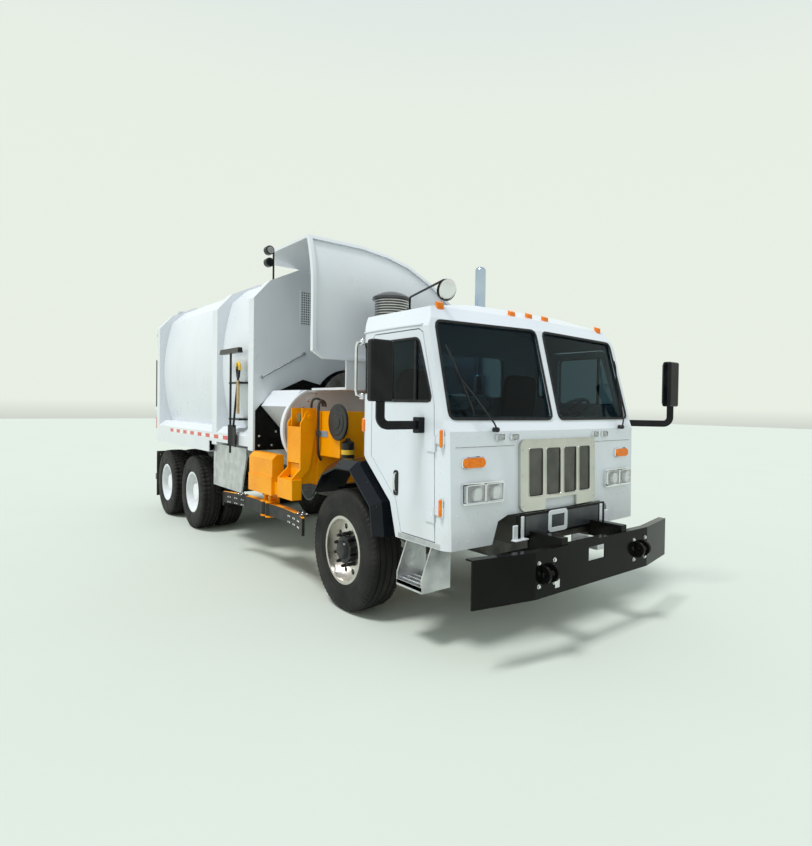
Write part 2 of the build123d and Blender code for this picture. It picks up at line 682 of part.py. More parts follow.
# Doors, their glass, and a mirror on an arm on each
mirror_width = 190
mirror_height = 440
mirror_depth = 90
mirror_bottom = 1860
mirror_tip_y = 1622
mirror_corner = 30
mirror_arm_width = 64
mirror_arm_depth = 40
mirror_arm_corner = 12
mirror_base_z = 1690
mirror_base_length = 70
mirror_base_height = 120
mirror_base_depth = 56
door_sides = [(-1, "right", 1070, 1090), (1, "left", 1585, 1150)]
for side, word, mirror_ahead, base_ahead in door_sides:
    with BuildPart() as door:
        add(cab_outer)
        add(cab_inner, mode=Mode.SUBTRACT)
        add(side_prism(side, door_shares, running_gap, 0, wall - seat_gap), mode=Mode.INTERSECT)
        add(side_prism(side, door_window_shares, 0, window_corner, 2 * wall), mode=Mode.SUBTRACT)
        for low in hinge_lows:
            add(side_hinge(side, low, -1))
    door.part.label = f"door_{word}"
    export_step(door.part, f"parts/door_{word}.step")

    with BuildPart() as door_glass:
        add(glass_outer)
        add(glass_inner, mode=Mode.SUBTRACT)
        add(side_prism(side, door_window_shares, seat_gap, window_corner, 2 * wall), mode=Mode.INTERSECT)
    door_glass.part.label = f"door_glass_{word}"
    export_step(door_glass.part, f"parts/door_glass_{word}.step")

    mirror_y = side * (mirror_tip_y - mirror_width / 2)
    root = (ahead(base_ahead), side * (cab_half + mirror_base_depth * 2 / 3), mirror_base_z)
    elbow = (ahead(mirror_ahead), mirror_y, mirror_base_z)
    with BuildPart() as mirror_head:
        with BuildSketch(Plane.XY.offset(mirror_bottom)):
            with Locations((ahead(mirror_ahead), mirror_y)):
                RectangleRounded(mirror_depth, mirror_width, mirror_corner)
        extrude(amount=mirror_height)
        fillet(mirror_head.faces().filter_by(Axis.Z).edges(), radius=mirror_corner * 2 / 3)
        with BuildSketch(Plane.XZ.offset(-side * (cab_half + seat_gap))):
            with Locations((ahead(base_ahead), mirror_base_z)):
                RectangleRounded(mirror_base_length, mirror_base_height, mirror_arm_corner)
        extrude(amount=-side * mirror_base_depth)
        with BuildLine():
            FilletPolyline(root, elbow, (ahead(mirror_ahead), mirror_y, mirror_bottom + wall),
                           radius=mirror_arm_width)
        with BuildSketch(Plane(origin=root, x_dir=(0, 0, 1),
                               z_dir=(elbow[0] - root[0], elbow[1] - root[1], 0))):
            RectangleRounded(mirror_arm_width, mirror_arm_depth, mirror_arm_corner)
        sweep(transition=Transition.ROUND)
    mirror_head.part.label = f"mirror_{word}"
    export_step(mirror_head.part, f"parts/mirror_{word}.step")

# Round mirror over the right door, on a rod from the roof
round_mirror_radius = 80
round_mirror_depth = 26
round_mirror_ahead = 1250
round_mirror_y = -1080
round_mirror_z = 2690
round_mirror_rod = 9
round_mirror_root = [540, -900]
round_mirror_lean = 20
with BuildPart() as roof_mirror:
    mirror_place = (ahead(round_mirror_ahead), round_mirror_y, round_mirror_z)
    knee = (ahead(round_mirror_ahead) - round_mirror_depth, round_mirror_y,
            round_mirror_z + round_mirror_radius)
    root = (ahead(round_mirror_root[0]), round_mirror_root[1], cab_top - 3 * wall)
    with BuildLine():
        FilletPolyline(root, (root[0], root[1], cab_top + wall), knee, mirror_place,
                       radius=round_mirror_depth)
    with BuildSketch(Plane(origin=root, z_dir=(0, 0, 1))):
        Circle(round_mirror_rod)
    sweep(transition=Transition.ROUND)
    with Locations(Location(mirror_place, (0, 90 + round_mirror_lean, 0))):
        Cylinder(round_mirror_radius, round_mirror_depth)
    with Locations((root[0], root[1], cab_top - 3 * wall / 2)):
        Cylinder(3 * round_mirror_rod, wall)
    add(cab_outer, mode=Mode.SUBTRACT)
roof_mirror.part.label = "roof_mirror"
export_step(roof_mirror.part, "parts/roof_mirror.step")

# Trim that lies on the cab's front: it follows the cab's own form
trim_depth = 28
front_skin_outer = cab_block(-trim_depth)
front_skin_inner = cab_block(-seat_gap)


def front_prism(outlines, corner):
    """Prism along the truck through outlines given as (low y, low z, high y, high z)."""
    with BuildPart() as prism:
        with BuildSketch(Plane.YZ.offset(ahead(cab_rear_ahead + cab_length / 2))):
            for low_y, low_z, high_y, high_z in outlines:
                with Locations(((low_y + high_y) / 2, (low_z + high_z) / 2)):
                    RectangleRounded(high_y - low_y, high_z - low_z, corner)
        extrude(amount=cab_length)
    return prism.part


def front_trim(outlines, corner):
    """Solid trim pieces on the cab's front."""
    with BuildPart() as trim:
        add(front_skin_outer)
        add(front_skin_inner, mode=Mode.SUBTRACT)
        add(front_prism(outlines, corner), mode=Mode.INTERSECT)
    return trim.part


# Grille: polished plate with four tall slots and a notched lower edge
grille_half = 480
grille_bottom = 1010
grille_top = 1580
grille_corner = 60
grille_notch_half = 200
grille_notch_top = 1095
slot_bottom = 1123
slot_top = 1510
slot_corner = 22
slot_edges_y = [(-391, -227), (-191, -19), (19, 201), (236, 401)]
with BuildPart() as grille:
    add(front_trim([(-grille_half, grille_bottom, grille_half, grille_top)], grille_corner))
    add(front_prism([(low, slot_bottom, high, slot_top) for low, high in slot_edges_y], slot_corner),
        mode=Mode.SUBTRACT)
    with BuildSketch(Plane.YZ.offset(ahead(cab_length))):
        with Locations((0, grille_bottom)):
            Rectangle(2 * grille_notch_half, 2 * (grille_notch_top - grille_bottom))
    extrude(amount=cab_length, mode=Mode.SUBTRACT)
grille.part.label = "grille"
export_step(grille.part, "parts/grille.step")

# Lamps on the front: paired headlamps, turn lamps, roof markers
headlamp_inner_y = 653
headlamp_outer_y = 1054
headlamp_bottom = 1115
headlamp_top = 1275
turn_inner_y = 837
turn_outer_y = 1041
turn_bottom = 1386
turn_top = 1455
headlamp_corner = 22
with BuildPart() as headlamps:
    add(front_trim([(-headlamp_outer_y, headlamp_bottom, -headlamp_inner_y, headlamp_top),
                    (headlamp_inner_y, headlamp_bottom, headlamp_outer_y, headlamp_top)], headlamp_corner))
headlamps.part.label = "headlamps"
export_step(headlamps.part, "parts/headlamps.step")

with BuildPart() as turn_lamp_pair:
    add(front_trim([(-turn_outer_y, turn_bottom, -turn_inner_y, turn_top),
                    (turn_inner_y, turn_bottom, turn_outer_y,
                     turn_top)], (turn_top - turn_bottom) / 2 - seat_gap))

marker_y = [-1005, -215, 0, 215, 1005]
marker_setback = 395
marker_ahead = cab_rear_ahead + cab_length - marker_setback
marker_size = 70
marker_height = 30
marker_low_share = 0.93
with BuildPart() as amber_lamps:
    for lamp_y in marker_y:
        with BuildSketch(Plane.XY.offset(cab_bottom + cab_height * marker_low_share)):
            with Locations((ahead(marker_ahead), lamp_y)):
                RectangleRounded(marker_size / 2, marker_size, marker_size / 6)
        extrude(amount=2 * marker_size)
    add(cab_block(-marker_height), mode=Mode.INTERSECT)
    add(front_skin_inner, mode=Mode.SUBTRACT)
    add(turn_lamp_pair.part)
amber_lamps.part.label = "amber_lamps"
export_step(amber_lamps.part, "parts/amber_lamps.step")

# Cab inside: dashboard, two seats, two steering wheels
dash_depth = 330
dash_bottom = 1500
dash_top = 1760
seat_y = 650
steering_radius = 215
steering_grip = 15
steering_z = 1790
steering_setback = 460
steering_ahead = cab_rear_ahead + cab_length - steering_setback
steering_column = 26
steering_column_length = 330
steering_lean = -35
with BuildPart() as dashboard:
    with BuildSketch(Plane.XY.offset(dash_bottom)):
        with Locations((ahead(cab_rear_ahead + cab_length - dash_depth / 2), 0)):
            Rectangle(dash_depth, cab_width)
    extrude(amount=dash_top - dash_bottom)
    chamfer(dashboard.edges().filter_by(Axis.Y).group_by(Axis.X)[0], length=wall)
    for side in (-1, 1):
        column_top = (ahead(steering_ahead), side * seat_y, steering_z)
        with Locations(Location(column_top, (0, steering_lean, 0))):
            Torus(steering_radius, steering_grip)
            Box(2 * steering_radius, 2 * steering_column, steering_grip)
            Box(2 * steering_column, 2 * steering_radius, steering_grip)
        with BuildSketch(Plane(origin=column_top,
                               z_dir=(-sin(steering_lean * pi / 180), 0, -cos(steering_lean * pi / 180)))):
            Circle(steering_column)
        extrude(amount=steering_column_length)
    add(cab_block(wall + seat_gap), mode=Mode.INTERSECT)
dashboard.part.label = "dashboard"
export_step(dashboard.part, "parts/dashboard.step")

seat_width = 500
seat_depth = 480
seat_floor = cab_bottom + cab_height * 0.319 + wall
seat_base_height = 90
cushion_height = 120
seat_back_height = 720
seat_back_depth = 130
seat_front_share = 0.9
seat_top_share = 0.7
seat_rear_ahead = cab_rear_ahead + 2 * wall
with BuildPart() as seats:
    for side in (-1, 1):
        with BuildSketch(Plane.XZ.offset(-side * seat_y - seat_width / 2)):
            with BuildLine():
                Polyline(
                    (ahead(seat_rear_ahead), seat_floor + seat_gap),
                    (ahead(seat_rear_ahead + seat_depth * seat_front_share), seat_floor + seat_gap),
                    (ahead(seat_rear_ahead + seat_depth), seat_floor + seat_base_height),
                    (ahead(seat_rear_ahead + seat_depth), seat_floor + seat_base_height + cushion_height),
                    (ahead(seat_rear_ahead + seat_back_depth),
                     seat_floor + seat_base_height + cushion_height),
                    (ahead(seat_rear_ahead + seat_back_depth * seat_top_share),
                     seat_floor + seat_back_height),
                    (ahead(seat_rear_ahead), seat_floor + seat_back_height),
                    close=True,
                )
            make_face()
        extrude(amount=seat_width)
seats.part.label = "seats"
export_step(seats.part, "parts/seats.step")

# Front fenders: black shells that arch over the steered wheels, held by a bar to the rail
fender_half_y = 1250
fender_inner_y = 880
fender_thickness = 14
fender_lip = 60
fender_shares = [(-0.97, 0.43), (-0.60, 0.95), (-0.15, 1.14), (0.32, 1.14), (0.93, 0.55), (1.0, 0)]
fender_size = 605
fender_rise = 500
fender_low_z = 760
fender_bevel = 70
fender_corner = 110
fender_bar = 44


def fender_outline():
    """Points of the arch, with its two ends carried down below it."""
    arch = spread(fender_shares, ahead(0), fender_low_z, fender_size, fender_rise)
    floor_z = fender_low_z - 2 * fender_bevel
    return [(arch[0][0], floor_z), *arch, (arch[-1][0], floor_z)]


def fender_block(side, grow, reach):
    """Arch filled down to its ends, with the edge of its outer face bevelled."""
    with BuildPart() as block:
        with BuildSketch(Plane.XZ.offset(-side * (fender_inner_y - reach))):
            with BuildLine():
                Polyline(*fender_outline(), close=True)
            make_face()
            fillet(vertices().sort_by(Axis.Z)[-4:], radius=fender_corner)
            if grow:
                offset(amount=grow, kind=Kind.INTERSECTION)
        extrude(amount=-side * (fender_half_y - fender_inner_y + reach + grow - fender_thickness))
        outer_face = block.faces().sort_by(Axis.Y)[-1 if side > 0 else 0]
        chamfer(outer_face.edges(), length=fender_bevel)
    return block.part


with BuildPart() as front_fenders:
    for side in (-1, 1):
        with BuildPart(mode=Mode.PRIVATE) as shell:
            add(fender_block(side, fender_thickness, 0))
            add(fender_block(side, 0, overrun), mode=Mode.SUBTRACT)
            # open below and behind, between the arch's two ends
            with BuildSketch(Plane.XZ.offset(-side * (fender_inner_y - overrun))):
                with BuildLine():
                    arch_ends = spread([fender_shares[0], fender_shares[-1]], ahead(0), fender_low_z,
                                       fender_size,
                                       fender_rise)
                    drop = fender_rise
                    Polyline(
                        arch_ends[0],
                        arch_ends[1],
                        (arch_ends[1][0] + drop, arch_ends[1][1]),
                        (arch_ends[1][0] + drop, arch_ends[1][1] - drop),
                        (arch_ends[0][0] - drop, arch_ends[1][1] - drop),
                        (arch_ends[0][0] - drop, arch_ends[0][1]),
                        close=True,
                    )
                make_face()
            extrude(amount=-side * (fender_half_y - fender_inner_y + 2 * overrun), mode=Mode.SUBTRACT)
            # wheel opening in the outer face
            with BuildSketch(Plane.XZ.offset(-side * (fender_half_y - fender_bevel))):
                with BuildLine():
                    Polyline(*fender_outline(), close=True)
                make_face()
                offset(amount=-fender_bevel, kind=Kind.INTERSECTION)
            extrude(amount=-side * (fender_bevel + overrun), mode=Mode.SUBTRACT)
        add(shell.part)
        bar_end = spread(fender_shares[:1], ahead(0), fender_low_z, fender_size, fender_rise)[0]
        with BuildSketch(Plane.XZ.offset(-side * frame_outer - side * seat_gap)):
            with Locations((bar_end[0] + fender_thickness, bar_end[1] + fender_bar)):
                Rectangle(fender_bar, fender_bar)
        extrude(amount=-side * (fender_inner_y + fender_lip - frame_outer - seat_gap))
front_fenders.part.label = "front_fenders"
export_step(front_fenders.part, "parts/front_fenders.step")

# Cab steps: hanging bracket each side with one tread
step_front_ahead = 1175
step_rear_ahead = 850
step_bottom = 440
step_inner_y = 940
step_outer_y = 1215
step_plate = 14
step_tread = 50
with BuildPart() as cab_steps:
    for side in (-1, 1):
        with BuildSketch(Plane.XZ.offset(-side * step_inner_y)):
            with Locations((ahead((step_front_ahead + step_rear_ahead) / 2), step_bottom + step_tread / 2)):
                Rectangle(step_front_ahead - step_rear_ahead, step_tread)
        extrude(amount=-side * (step_outer_y - step_inner_y))
        for plate_ahead in (step_rear_ahead, step_front_ahead - step_plate):
            with BuildSketch(Plane.YZ.offset(ahead(plate_ahead))):
                with BuildLine():
                    Polyline(
                        (side * step_inner_y, step_bottom),
                        (side * step_outer_y, step_bottom),
                        (side * step_outer_y, step_bottom + 2 * step_tread),
                        (side * (cab_half - wall), cab_bottom - seat_gap),
                        (side * step_inner_y, cab_bottom - seat_gap),
                        close=True,
                    )
                make_face()
            extrude(amount=step_plate)
cab_steps.part.label = "cab_steps"
export_step(cab_steps.part, "parts/cab_steps.step")

# Exhaust: upright muffler on a bracket from the left rail, with the stack above
stack_y = 800
stack_behind = 430
stack_radius = 62
stack_top = 3415
cap_rise = 35
muffler_radius = 120
muffler_bottom = 1300
muffler_top = 2200
pipe_wall = 6
bracket_thickness = 30
with BuildPart() as exhaust_stack:
    with BuildSketch(Plane.XY.offset(muffler_bottom)):
        with Locations((behind(stack_behind), stack_y)):
            Circle(muffler_radius)
    extrude(amount=muffler_top - muffler_bottom)
    fillet(exhaust_stack.edges().filter_by(GeomType.CIRCLE), radius=bracket_thickness)
    with BuildSketch(Plane.XY.offset(muffler_top - bracket_thickness)):
        with Locations((behind(stack_behind), stack_y)):
            Circle(stack_radius)
    extrude(amount=stack_top - muffler_top + bracket_thickness)
    with BuildSketch(Plane.XY.offset(stack_top)):
        with Locations((behind(stack_behind), stack_y)):
            Circle(stack_radius - pipe_wall)
    extrude(amount=-(stack_top - muffler_top - bracket_thickness), mode=Mode.SUBTRACT)
    with BuildSketch(Plane.XZ.offset(-stack_y)):
        with BuildLine():
            Line((behind(stack_behind), stack_top), (behind(stack_behind) + stack_radius, stack_top))
            ThreePointArc((behind(stack_behind) + stack_radius, stack_top),
                          (behind(stack_behind) + stack_radius * cos(pi / 4),
                           stack_top + cap_rise * sin(pi / 4)),
                          (behind(stack_behind), stack_top + cap_rise))
            Line((behind(stack_behind), stack_top + cap_rise), (behind(stack_behind), stack_top))
        make_face()
    revolve(axis=Axis((behind(stack_behind), stack_y, 0), (0, 0, 1)))
    with BuildSketch(Plane.XY.offset(frame_top + seat_gap)):
        with Locations((behind(stack_behind), (frame_outer - rail_flange + stack_y + muffler_radius) / 2)):
            Rectangle(muffler_radius / 2, stack_y + muffler_radius - frame_outer + rail_flange)
    extrude(amount=bracket_thickness)
    with BuildSketch(Plane.XY.offset(frame_top + seat_gap + bracket_thickness)):
        with Locations((behind(stack_behind), stack_y)):
            Circle(stack_radius)
    extrude(amount=muffler_bottom - frame_top)
exhaust_stack.part.label = "exhaust_stack"
export_step(exhaust_stack.part, "parts/exhaust_stack.step")

# Air intake: upright duct behind the cab with a domed rain cap
intake_y = -550
intake_behind = 250
intake_radius = 115
intake_drum_radius = 165
intake_cap_radius = 190
intake_drum_low = 2640
intake_neck_top = 2865
intake_cap_rim = 22
intake_cap_height = 62
intake_foot = 160
with BuildPart() as air_intake:
    middle_x = behind(intake_behind)
    with BuildSketch(Plane.XZ.offset(-intake_y)):
        with BuildLine():
            Polyline(
                (middle_x, intake_neck_top + intake_cap_rim + intake_cap_height),
                (middle_x, frame_top + seat_gap),
                (middle_x + intake_foot, frame_top + seat_gap),
                (middle_x + intake_foot, frame_top + intake_foot),
                (middle_x + intake_radius, frame_top + 2 * intake_foot),
                (middle_x + intake_radius, intake_drum_low - intake_foot / 2),
                (middle_x + intake_drum_radius, intake_drum_low),
                (middle_x + intake_drum_radius, intake_neck_top),
                (middle_x + intake_cap_radius, intake_neck_top),
                (middle_x + intake_cap_radius, intake_neck_top + intake_cap_rim),
            )
            TangentArc(
                (middle_x, intake_neck_top + intake_cap_rim + intake_cap_height),
                (middle_x + intake_cap_radius, intake_neck_top + intake_cap_rim),
                tangent=(1, 0),
            )
        make_face()
    revolve(axis=Axis((middle_x, intake_y, 0), (0, 0, 1)))
    with BuildSketch(Plane.XY.offset(frame_top + seat_gap)):
        with Locations((middle_x, (intake_y - spring_y) / 2)):
            Rectangle(intake_foot, -intake_y - spring_y + spring_width)
    extrude(amount=bracket_thickness)
air_intake.part.label = "air_intake"
export_step(air_intake.part, "parts/air_intake.step")

# Refuse body: barrel-sided shell between hoops, on two sills, open behind, with the packer's port in front
bulkhead_behind = 2050
body_rear_behind = overall_length - front_overhang - tailgate_reach
body_floor = 1130
body_top = 3440
body_sheet = 40
body_height = body_top - body_floor
body_length = body_rear_behind - bulkhead_behind
barrel_low_share = (0.780, 0.075)
barrel_middle_share = (0.943, 0.530)
barrel_high_share = (0.844, 0.870)
shoulder_share = (0.697, 0.948)
roof_edge_share = (0.450, 0.985)
floor_edge_share = (0.600, 0)
post_width = 150
post_low_share = 0.065
post_low_z = body_floor + post_low_share * body_height
post_chamfer_shares = [(1.0, 0.826), (0.844, 0.922), (0.55, 1.0)]
mid_hoop_behind = 3270
mid_hoop_width = 180
ledge_bottom = 1320
ledge_top = 1480
ledge_depth = 220
ledge_slope = 90
ledge_inner_y = body_half - ledge_depth
ledge_slope_y = body_half - ledge_slope
port_radius = 470
packer_z = 1800


def body_section():
    """Outer section of the refuse body, across and up."""
    half = body_half

    def at(share, side):
        return (side * share[0] * half, body_floor + share[1] * body_height)

    with BuildSketch() as section:
        with BuildLine():
            Line(at(floor_edge_share, -1), at(floor_edge_share, 1))
            Line(at(floor_edge_share, 1), at(barrel_low_share, 1))
            ThreePointArc(at(barrel_low_share, 1), at(barrel_middle_share, 1), at(barrel_high_share, 1))
            Line(at(barrel_high_share, 1), at(shoulder_share, 1))
            Line(at(shoulder_share, 1), at(roof_edge_share, 1))
            ThreePointArc(at(roof_edge_share, 1), (0, body_top), at(roof_edge_share, -1))
            Line(at(roof_edge_share, -1), at(shoulder_share, -1))
            Line(at(shoulder_share, -1), at(barrel_high_share, -1))
            ThreePointArc(at(barrel_high_share, -1), at(barrel_middle_share, -1), at(barrel_low_share, -1))
            Line(at(barrel_low_share, -1), at(floor_edge_share, -1))
        make_face()
    return section.sketch_local


def hoop_section():
    """Outer section of a hoop: straight posts, chamfered shoulders, flat top."""
    right = [(share_y * body_half,
              body_floor + share_z * body_height) for share_y, share_z in post_chamfer_shares]
    low = (body_half, post_low_z)
    points = [low] + right
    points += [(-point_y, point_z) for point_y, point_z in reversed(points)]
    with BuildSketch() as section:
        with BuildLine():
            Polyline(*points, close=True)
        make_face()
        add(body_section())
    return section.sketch_local


sill_width = 80
lift_cylinder_radius = 38
lift_cylinder_low = 1710
lift_cylinder_inset = 40
lift_cylinder_y = body_half - lift_cylinder_inset
lift_rod_radius = 20
lift_cylinder_x = behind(body_rear_behind) - 2 * lift_cylinder_radius
bracket_plate = 12
bracket_half = 30
hinge_z = 3425
hinge_share = 0.41
hinge_y = hinge_share * body_half
hinge_eye_radius = 30
hinge_pin_radius = 14
hinge_lug_width = 60
hinge_gap = 5
hinge_x = behind(body_rear_behind) - hinge_eye_radius - hinge_gap
hoops = [(body_rear_behind, post_width), (mid_hoop_behind + mid_hoop_width, mid_hoop_width),
         (bulkhead_behind + post_width, post_width)]
with BuildPart() as body_shell:
    with BuildSketch(Plane.YZ.offset(behind(body_rear_behind))):
        add(body_section())
        for side in (-1, 1):
            with Locations((side * spring_y, (frame_top + body_floor) / 2)):
                Rectangle(sill_width, body_floor - frame_top - 2 * seat_gap)
            with Locations((side * spring_y, body_floor)):
                Rectangle(sill_width, body_sheet)
    extrude(amount=body_length)
    for hoop_rear, hoop_width in hoops:
        with BuildSketch(Plane.YZ.offset(behind(hoop_rear))):
            add(hoop_section())
        extrude(amount=hoop_width)
    for side in (-1, 1):
        with BuildSketch(Plane.YZ.offset(behind(body_rear_behind))):
            with BuildLine():
                Polyline(
                    (side * ledge_inner_y, ledge_bottom),
                    (side * body_half, ledge_bottom),
                    (side * body_half, ledge_top - body_sheet),
                    (side * ledge_slope_y, ledge_top + body_sheet),
                    (side * ledge_inner_y, ledge_top + body_sheet),
                    close=True,
                )
            make_face()
        extrude(amount=body_length)
    with BuildSketch(Plane.YZ.offset(behind(body_rear_behind + overrun))):
        add(body_section())
        offset(amount=-body_sheet)
    extrude(amount=body_length + overrun - body_sheet, mode=Mode.SUBTRACT)
    with BuildSketch(Plane.YZ.offset(behind(bulkhead_behind + 2 * body_sheet))):
        with Locations((0, packer_z)):
            Circle(port_radius)
    extrude(amount=3 * body_sheet, mode=Mode.SUBTRACT)
    # brackets on the rear posts, with the pins that the tailgate's cylinders turn on
    for side in (-1, 1):
        for edge in (-1, 1):
            bracket_y = side * lift_cylinder_y + edge * (lift_rod_radius + running_gap + bracket_plate / 2)
            with BuildSketch(Plane.XZ.offset(-bracket_y - bracket_plate / 2)):
                with Locations((lift_cylinder_x, lift_cylinder_low)):
                    Circle(bracket_half)
                with Locations(((lift_cylinder_x + behind(body_rear_behind)) / 2, lift_cylinder_low)):
                    Rectangle(behind(body_rear_behind) - lift_cylinder_x + 2 * seat_gap, 2 * bracket_half)
            extrude(amount=bracket_plate)
        plate_y = -side * lift_cylinder_y - lift_rod_radius - running_gap - bracket_plate
        with BuildSketch(Plane.XZ.offset(plate_y)):
            with Locations((lift_cylinder_x, lift_cylinder_low)):
                Circle(lift_rod_radius)
        extrude(amount=2 * (lift_rod_radius + running_gap + bracket_plate))
    # ears over the rear frame, with the pins that the tailgate hangs on
    for side in (-1, 1):
        for edge in (-1, 1):
            ear_y = side * hinge_y + edge * (hinge_lug_width / 2 + hinge_gap + bracket_plate / 2)
            with BuildSketch(Plane.XZ.offset(-ear_y - bracket_plate / 2)):
                with Locations((hinge_x, hinge_z)):
                    Circle(hinge_eye_radius)
                with Locations(((hinge_x + behind(body_rear_behind)) / 2, hinge_z)):
                    Rectangle(behind(body_rear_behind) - hinge_x + 2 * seat_gap, 2 * hinge_eye_radius)
            extrude(amount=bracket_plate)
        lug_y = -side * hinge_y - hinge_lug_width / 2 - hinge_gap - bracket_plate
        with BuildSketch(Plane.XZ.offset(lug_y)):
            with Locations((hinge_x, hinge_z)):
                Circle(hinge_pin_radius)
        extrude(amount=hinge_lug_width + 2 * (hinge_gap + bracket_plate))
body_shell.part.label = "body_shell"
export_step(body_shell.part, "parts/body_shell.step")

# Tailgate: tapered shell hinged along its top edge
tailgate_gap = 15
tailgate_front_x = behind(body_rear_behind + tailgate_gap)
tailgate_rear_x = tail_x
tailgate_inset = 120
tailgate_half = body_half - tailgate_inset
tailgate_low = 1100
tailgate_high = 3380
tailgate_wall = 45
tailgate_rear_scale = 0.86
tailgate_shares = [(-0.80, 0), (-1, 0.20), (-1, 0.80), (-0.80, 1), (0.80, 1), (1, 0.80), (1, 0.20),
                   (0.80, 0)]
tailgate_middle_z = (tailgate_low + tailgate_high) / 2


def tailgate_form(front_x, rear_x, inset):
    """Solid of the tailgate's tapering form with its sides moved in by the inset."""
    with BuildPart() as form:
        for section_x, scale_to in ((front_x, 1), (rear_x, tailgate_rear_scale)):
            half = tailgate_half * scale_to - inset
            low = tailgate_middle_z - (tailgate_middle_z - tailgate_low) * scale_to + inset
            high = tailgate_middle_z + (tailgate_high - tailgate_middle_z) * scale_to - inset
            with BuildSketch(Plane.YZ.offset(section_x)):
                with BuildLine():
                    Polyline(*spread(tailgate_shares, 0, low, half, high - low), close=True)
                make_face()
        loft()
    return form.part


with BuildPart() as tailgate:
    add(tailgate_form(tailgate_front_x, tailgate_rear_x, 0))
    add(tailgate_form(tailgate_front_x + seat_gap, tailgate_rear_x + tailgate_wall, tailgate_wall),
        mode=Mode.SUBTRACT)
    for side in (-1, 1):
        with BuildSketch(Plane.XZ.offset(-side * hinge_y - hinge_lug_width / 2)):
            with Locations((hinge_x, hinge_z)):
                Circle(hinge_eye_radius)
            with Locations(((hinge_x + tailgate_front_x) / 2 - hinge_gap,
                            (hinge_z + tailgate_high - tailgate_wall) / 2)):
                Rectangle(tailgate_front_x - hinge_x + 2 * hinge_gap,
                          hinge_z - tailgate_high + tailgate_wall)
            with Locations((hinge_x, hinge_z)):
                Circle(hinge_pin_radius + pin_clearance, mode=Mode.SUBTRACT)
        extrude(amount=hinge_lug_width)
tailgate.part.label = "tailgate"
export_step(tailgate.part, "parts/tailgate.step")

# Tailgate cylinders: a barrel each side, pinned low on the rear post, and a rod with its eye at the top
lift_cylinder_high = 2940
lift_barrel_share = 0.66
lift_barrel_top = lift_cylinder_low + lift_barrel_share * (lift_cylinder_high - lift_cylinder_low)
lift_bore_low = lift_cylinder_low + 2 * lift_cylinder_radius
lift_barrel_low = lift_cylinder_low + bracket_half + sheet / 5
with BuildPart() as tailgate_barrels:
    for side in (-1, 1):
        with BuildSketch(Plane.XY.offset(lift_barrel_low)):
            with Locations((lift_cylinder_x, side * lift_cylinder_y)):
                Circle(lift_cylinder_radius)
        extrude(amount=lift_barrel_top - lift_barrel_low)
        with BuildSketch(Plane.XY.offset(lift_bore_low)):
            with Locations((lift_cylinder_x, side * lift_cylinder_y)):
                Circle(lift_rod_radius + pin_clearance)
        extrude(amount=lift_barrel_top - lift_bore_low, mode=Mode.SUBTRACT)
        with BuildSketch(Plane.XZ.offset(-side * lift_cylinder_y - lift_rod_radius)):
            with Locations((lift_cylinder_x, lift_cylinder_low)):
                Circle(lift_cylinder_radius)
        extrude(amount=2 * lift_rod_radius)
        with BuildSketch(Plane.XZ.offset(-side * lift_cylinder_y - lift_cylinder_radius)):
            with Locations((lift_cylinder_x, lift_cylinder_low)):
                Circle(lift_rod_radius + pin_clearance)
        extrude(amount=2 * lift_cylinder_radius, mode=Mode.SUBTRACT)
tailgate_barrels.part.label = "tailgate_barrels"
export_step(tailgate_barrels.part, "parts/tailgate_barrels.step")

with BuildPart() as tailgate_rods:
    for side in (-1, 1):
        with BuildSketch(Plane.XY.offset(lift_bore_low + lift_rod_radius)):
            with Locations((lift_cylinder_x, side * lift_cylinder_y)):
                Circle(lift_rod_radius)
        extrude(amount=lift_cylinder_high - lift_bore_low - lift_rod_radius)
        with BuildSketch(Plane.XZ.offset(-side * lift_cylinder_y - lift_rod_radius)):
            with Locations((lift_cylinder_x, lift_cylinder_high)):
                Circle(lift_cylinder_radius)
        extrude(amount=2 * lift_rod_radius)
        with BuildSketch(Plane.XZ.offset(-side * lift_cylinder_y - lift_cylinder_radius)):
            with Locations((lift_cylinder_x, lift_cylinder_high)):
                Circle(lift_rod_radius)
        extrude(amount=2 * lift_cylinder_radius, mode=Mode.SUBTRACT)
tailgate_rods.part.label = "tailgate_rods"
export_step(tailgate_rods.part, "parts/tailgate_rods.step")

# Hopper trough: faceted tub between the bulkhead and a front plate
trough_front_behind = 1300
trough_sheet = 20
trough_rear_gap = 9
trough_low = 1262
trough_high = 1980
trough_shares = [(-0.818, 1.0), (-0.925, 0.750), (-0.660, 0.240), (-0.400, 0), (0.400, 0), (0.660, 0.240),
                 (0.925, 0.750), (0.925, 1.0)]
trough_inner_shares = [(-0.798, 1.05), (-0.798, 1.0), (-0.902, 0.755), (-0.643, 0.258), (-0.390, 0.028),
                       (0.390, 0.028), (0.643, 0.258), (0.902, 0.755), (0.902, 1.05)]
ring_arc_shares = [(-0.778, 1.0), (-1.0, 0.330), (-0.911, 0), (-0.52, -0.28), (0, -0.36)]
ring_width = 22
ring_stand = 60
packer_radius = 440
packer_shaft_radius = 95
packer_front_behind = 1345
packer_journal_radius = 60
packer_journal_end_behind = 1270
packer_rear_behind = 2700
packer_blade = 26
packer_turns = 2


def ring_section(inset):
    """Outline of the trough's front plate: flat top, an arc down each side, a round belly."""
    with BuildSketch() as section:
        with BuildLine():
            right = spread(ring_arc_shares, 0, trough_low, body_half, trough_high - trough_low)
            left = [(-across, up) for across, up in right]
            Line(right[0], left[0])
            ThreePointArc(right[0], right[1], right[2])
            ThreePointArc(right[2], right[3], right[4])
            ThreePointArc(left[2], left[3], left[4])
            ThreePointArc(left[0], left[1], left[2])
        make_face()
        if inset:
            offset(amount=-inset, kind=Kind.INTERSECTION)
    return section.sketch_local


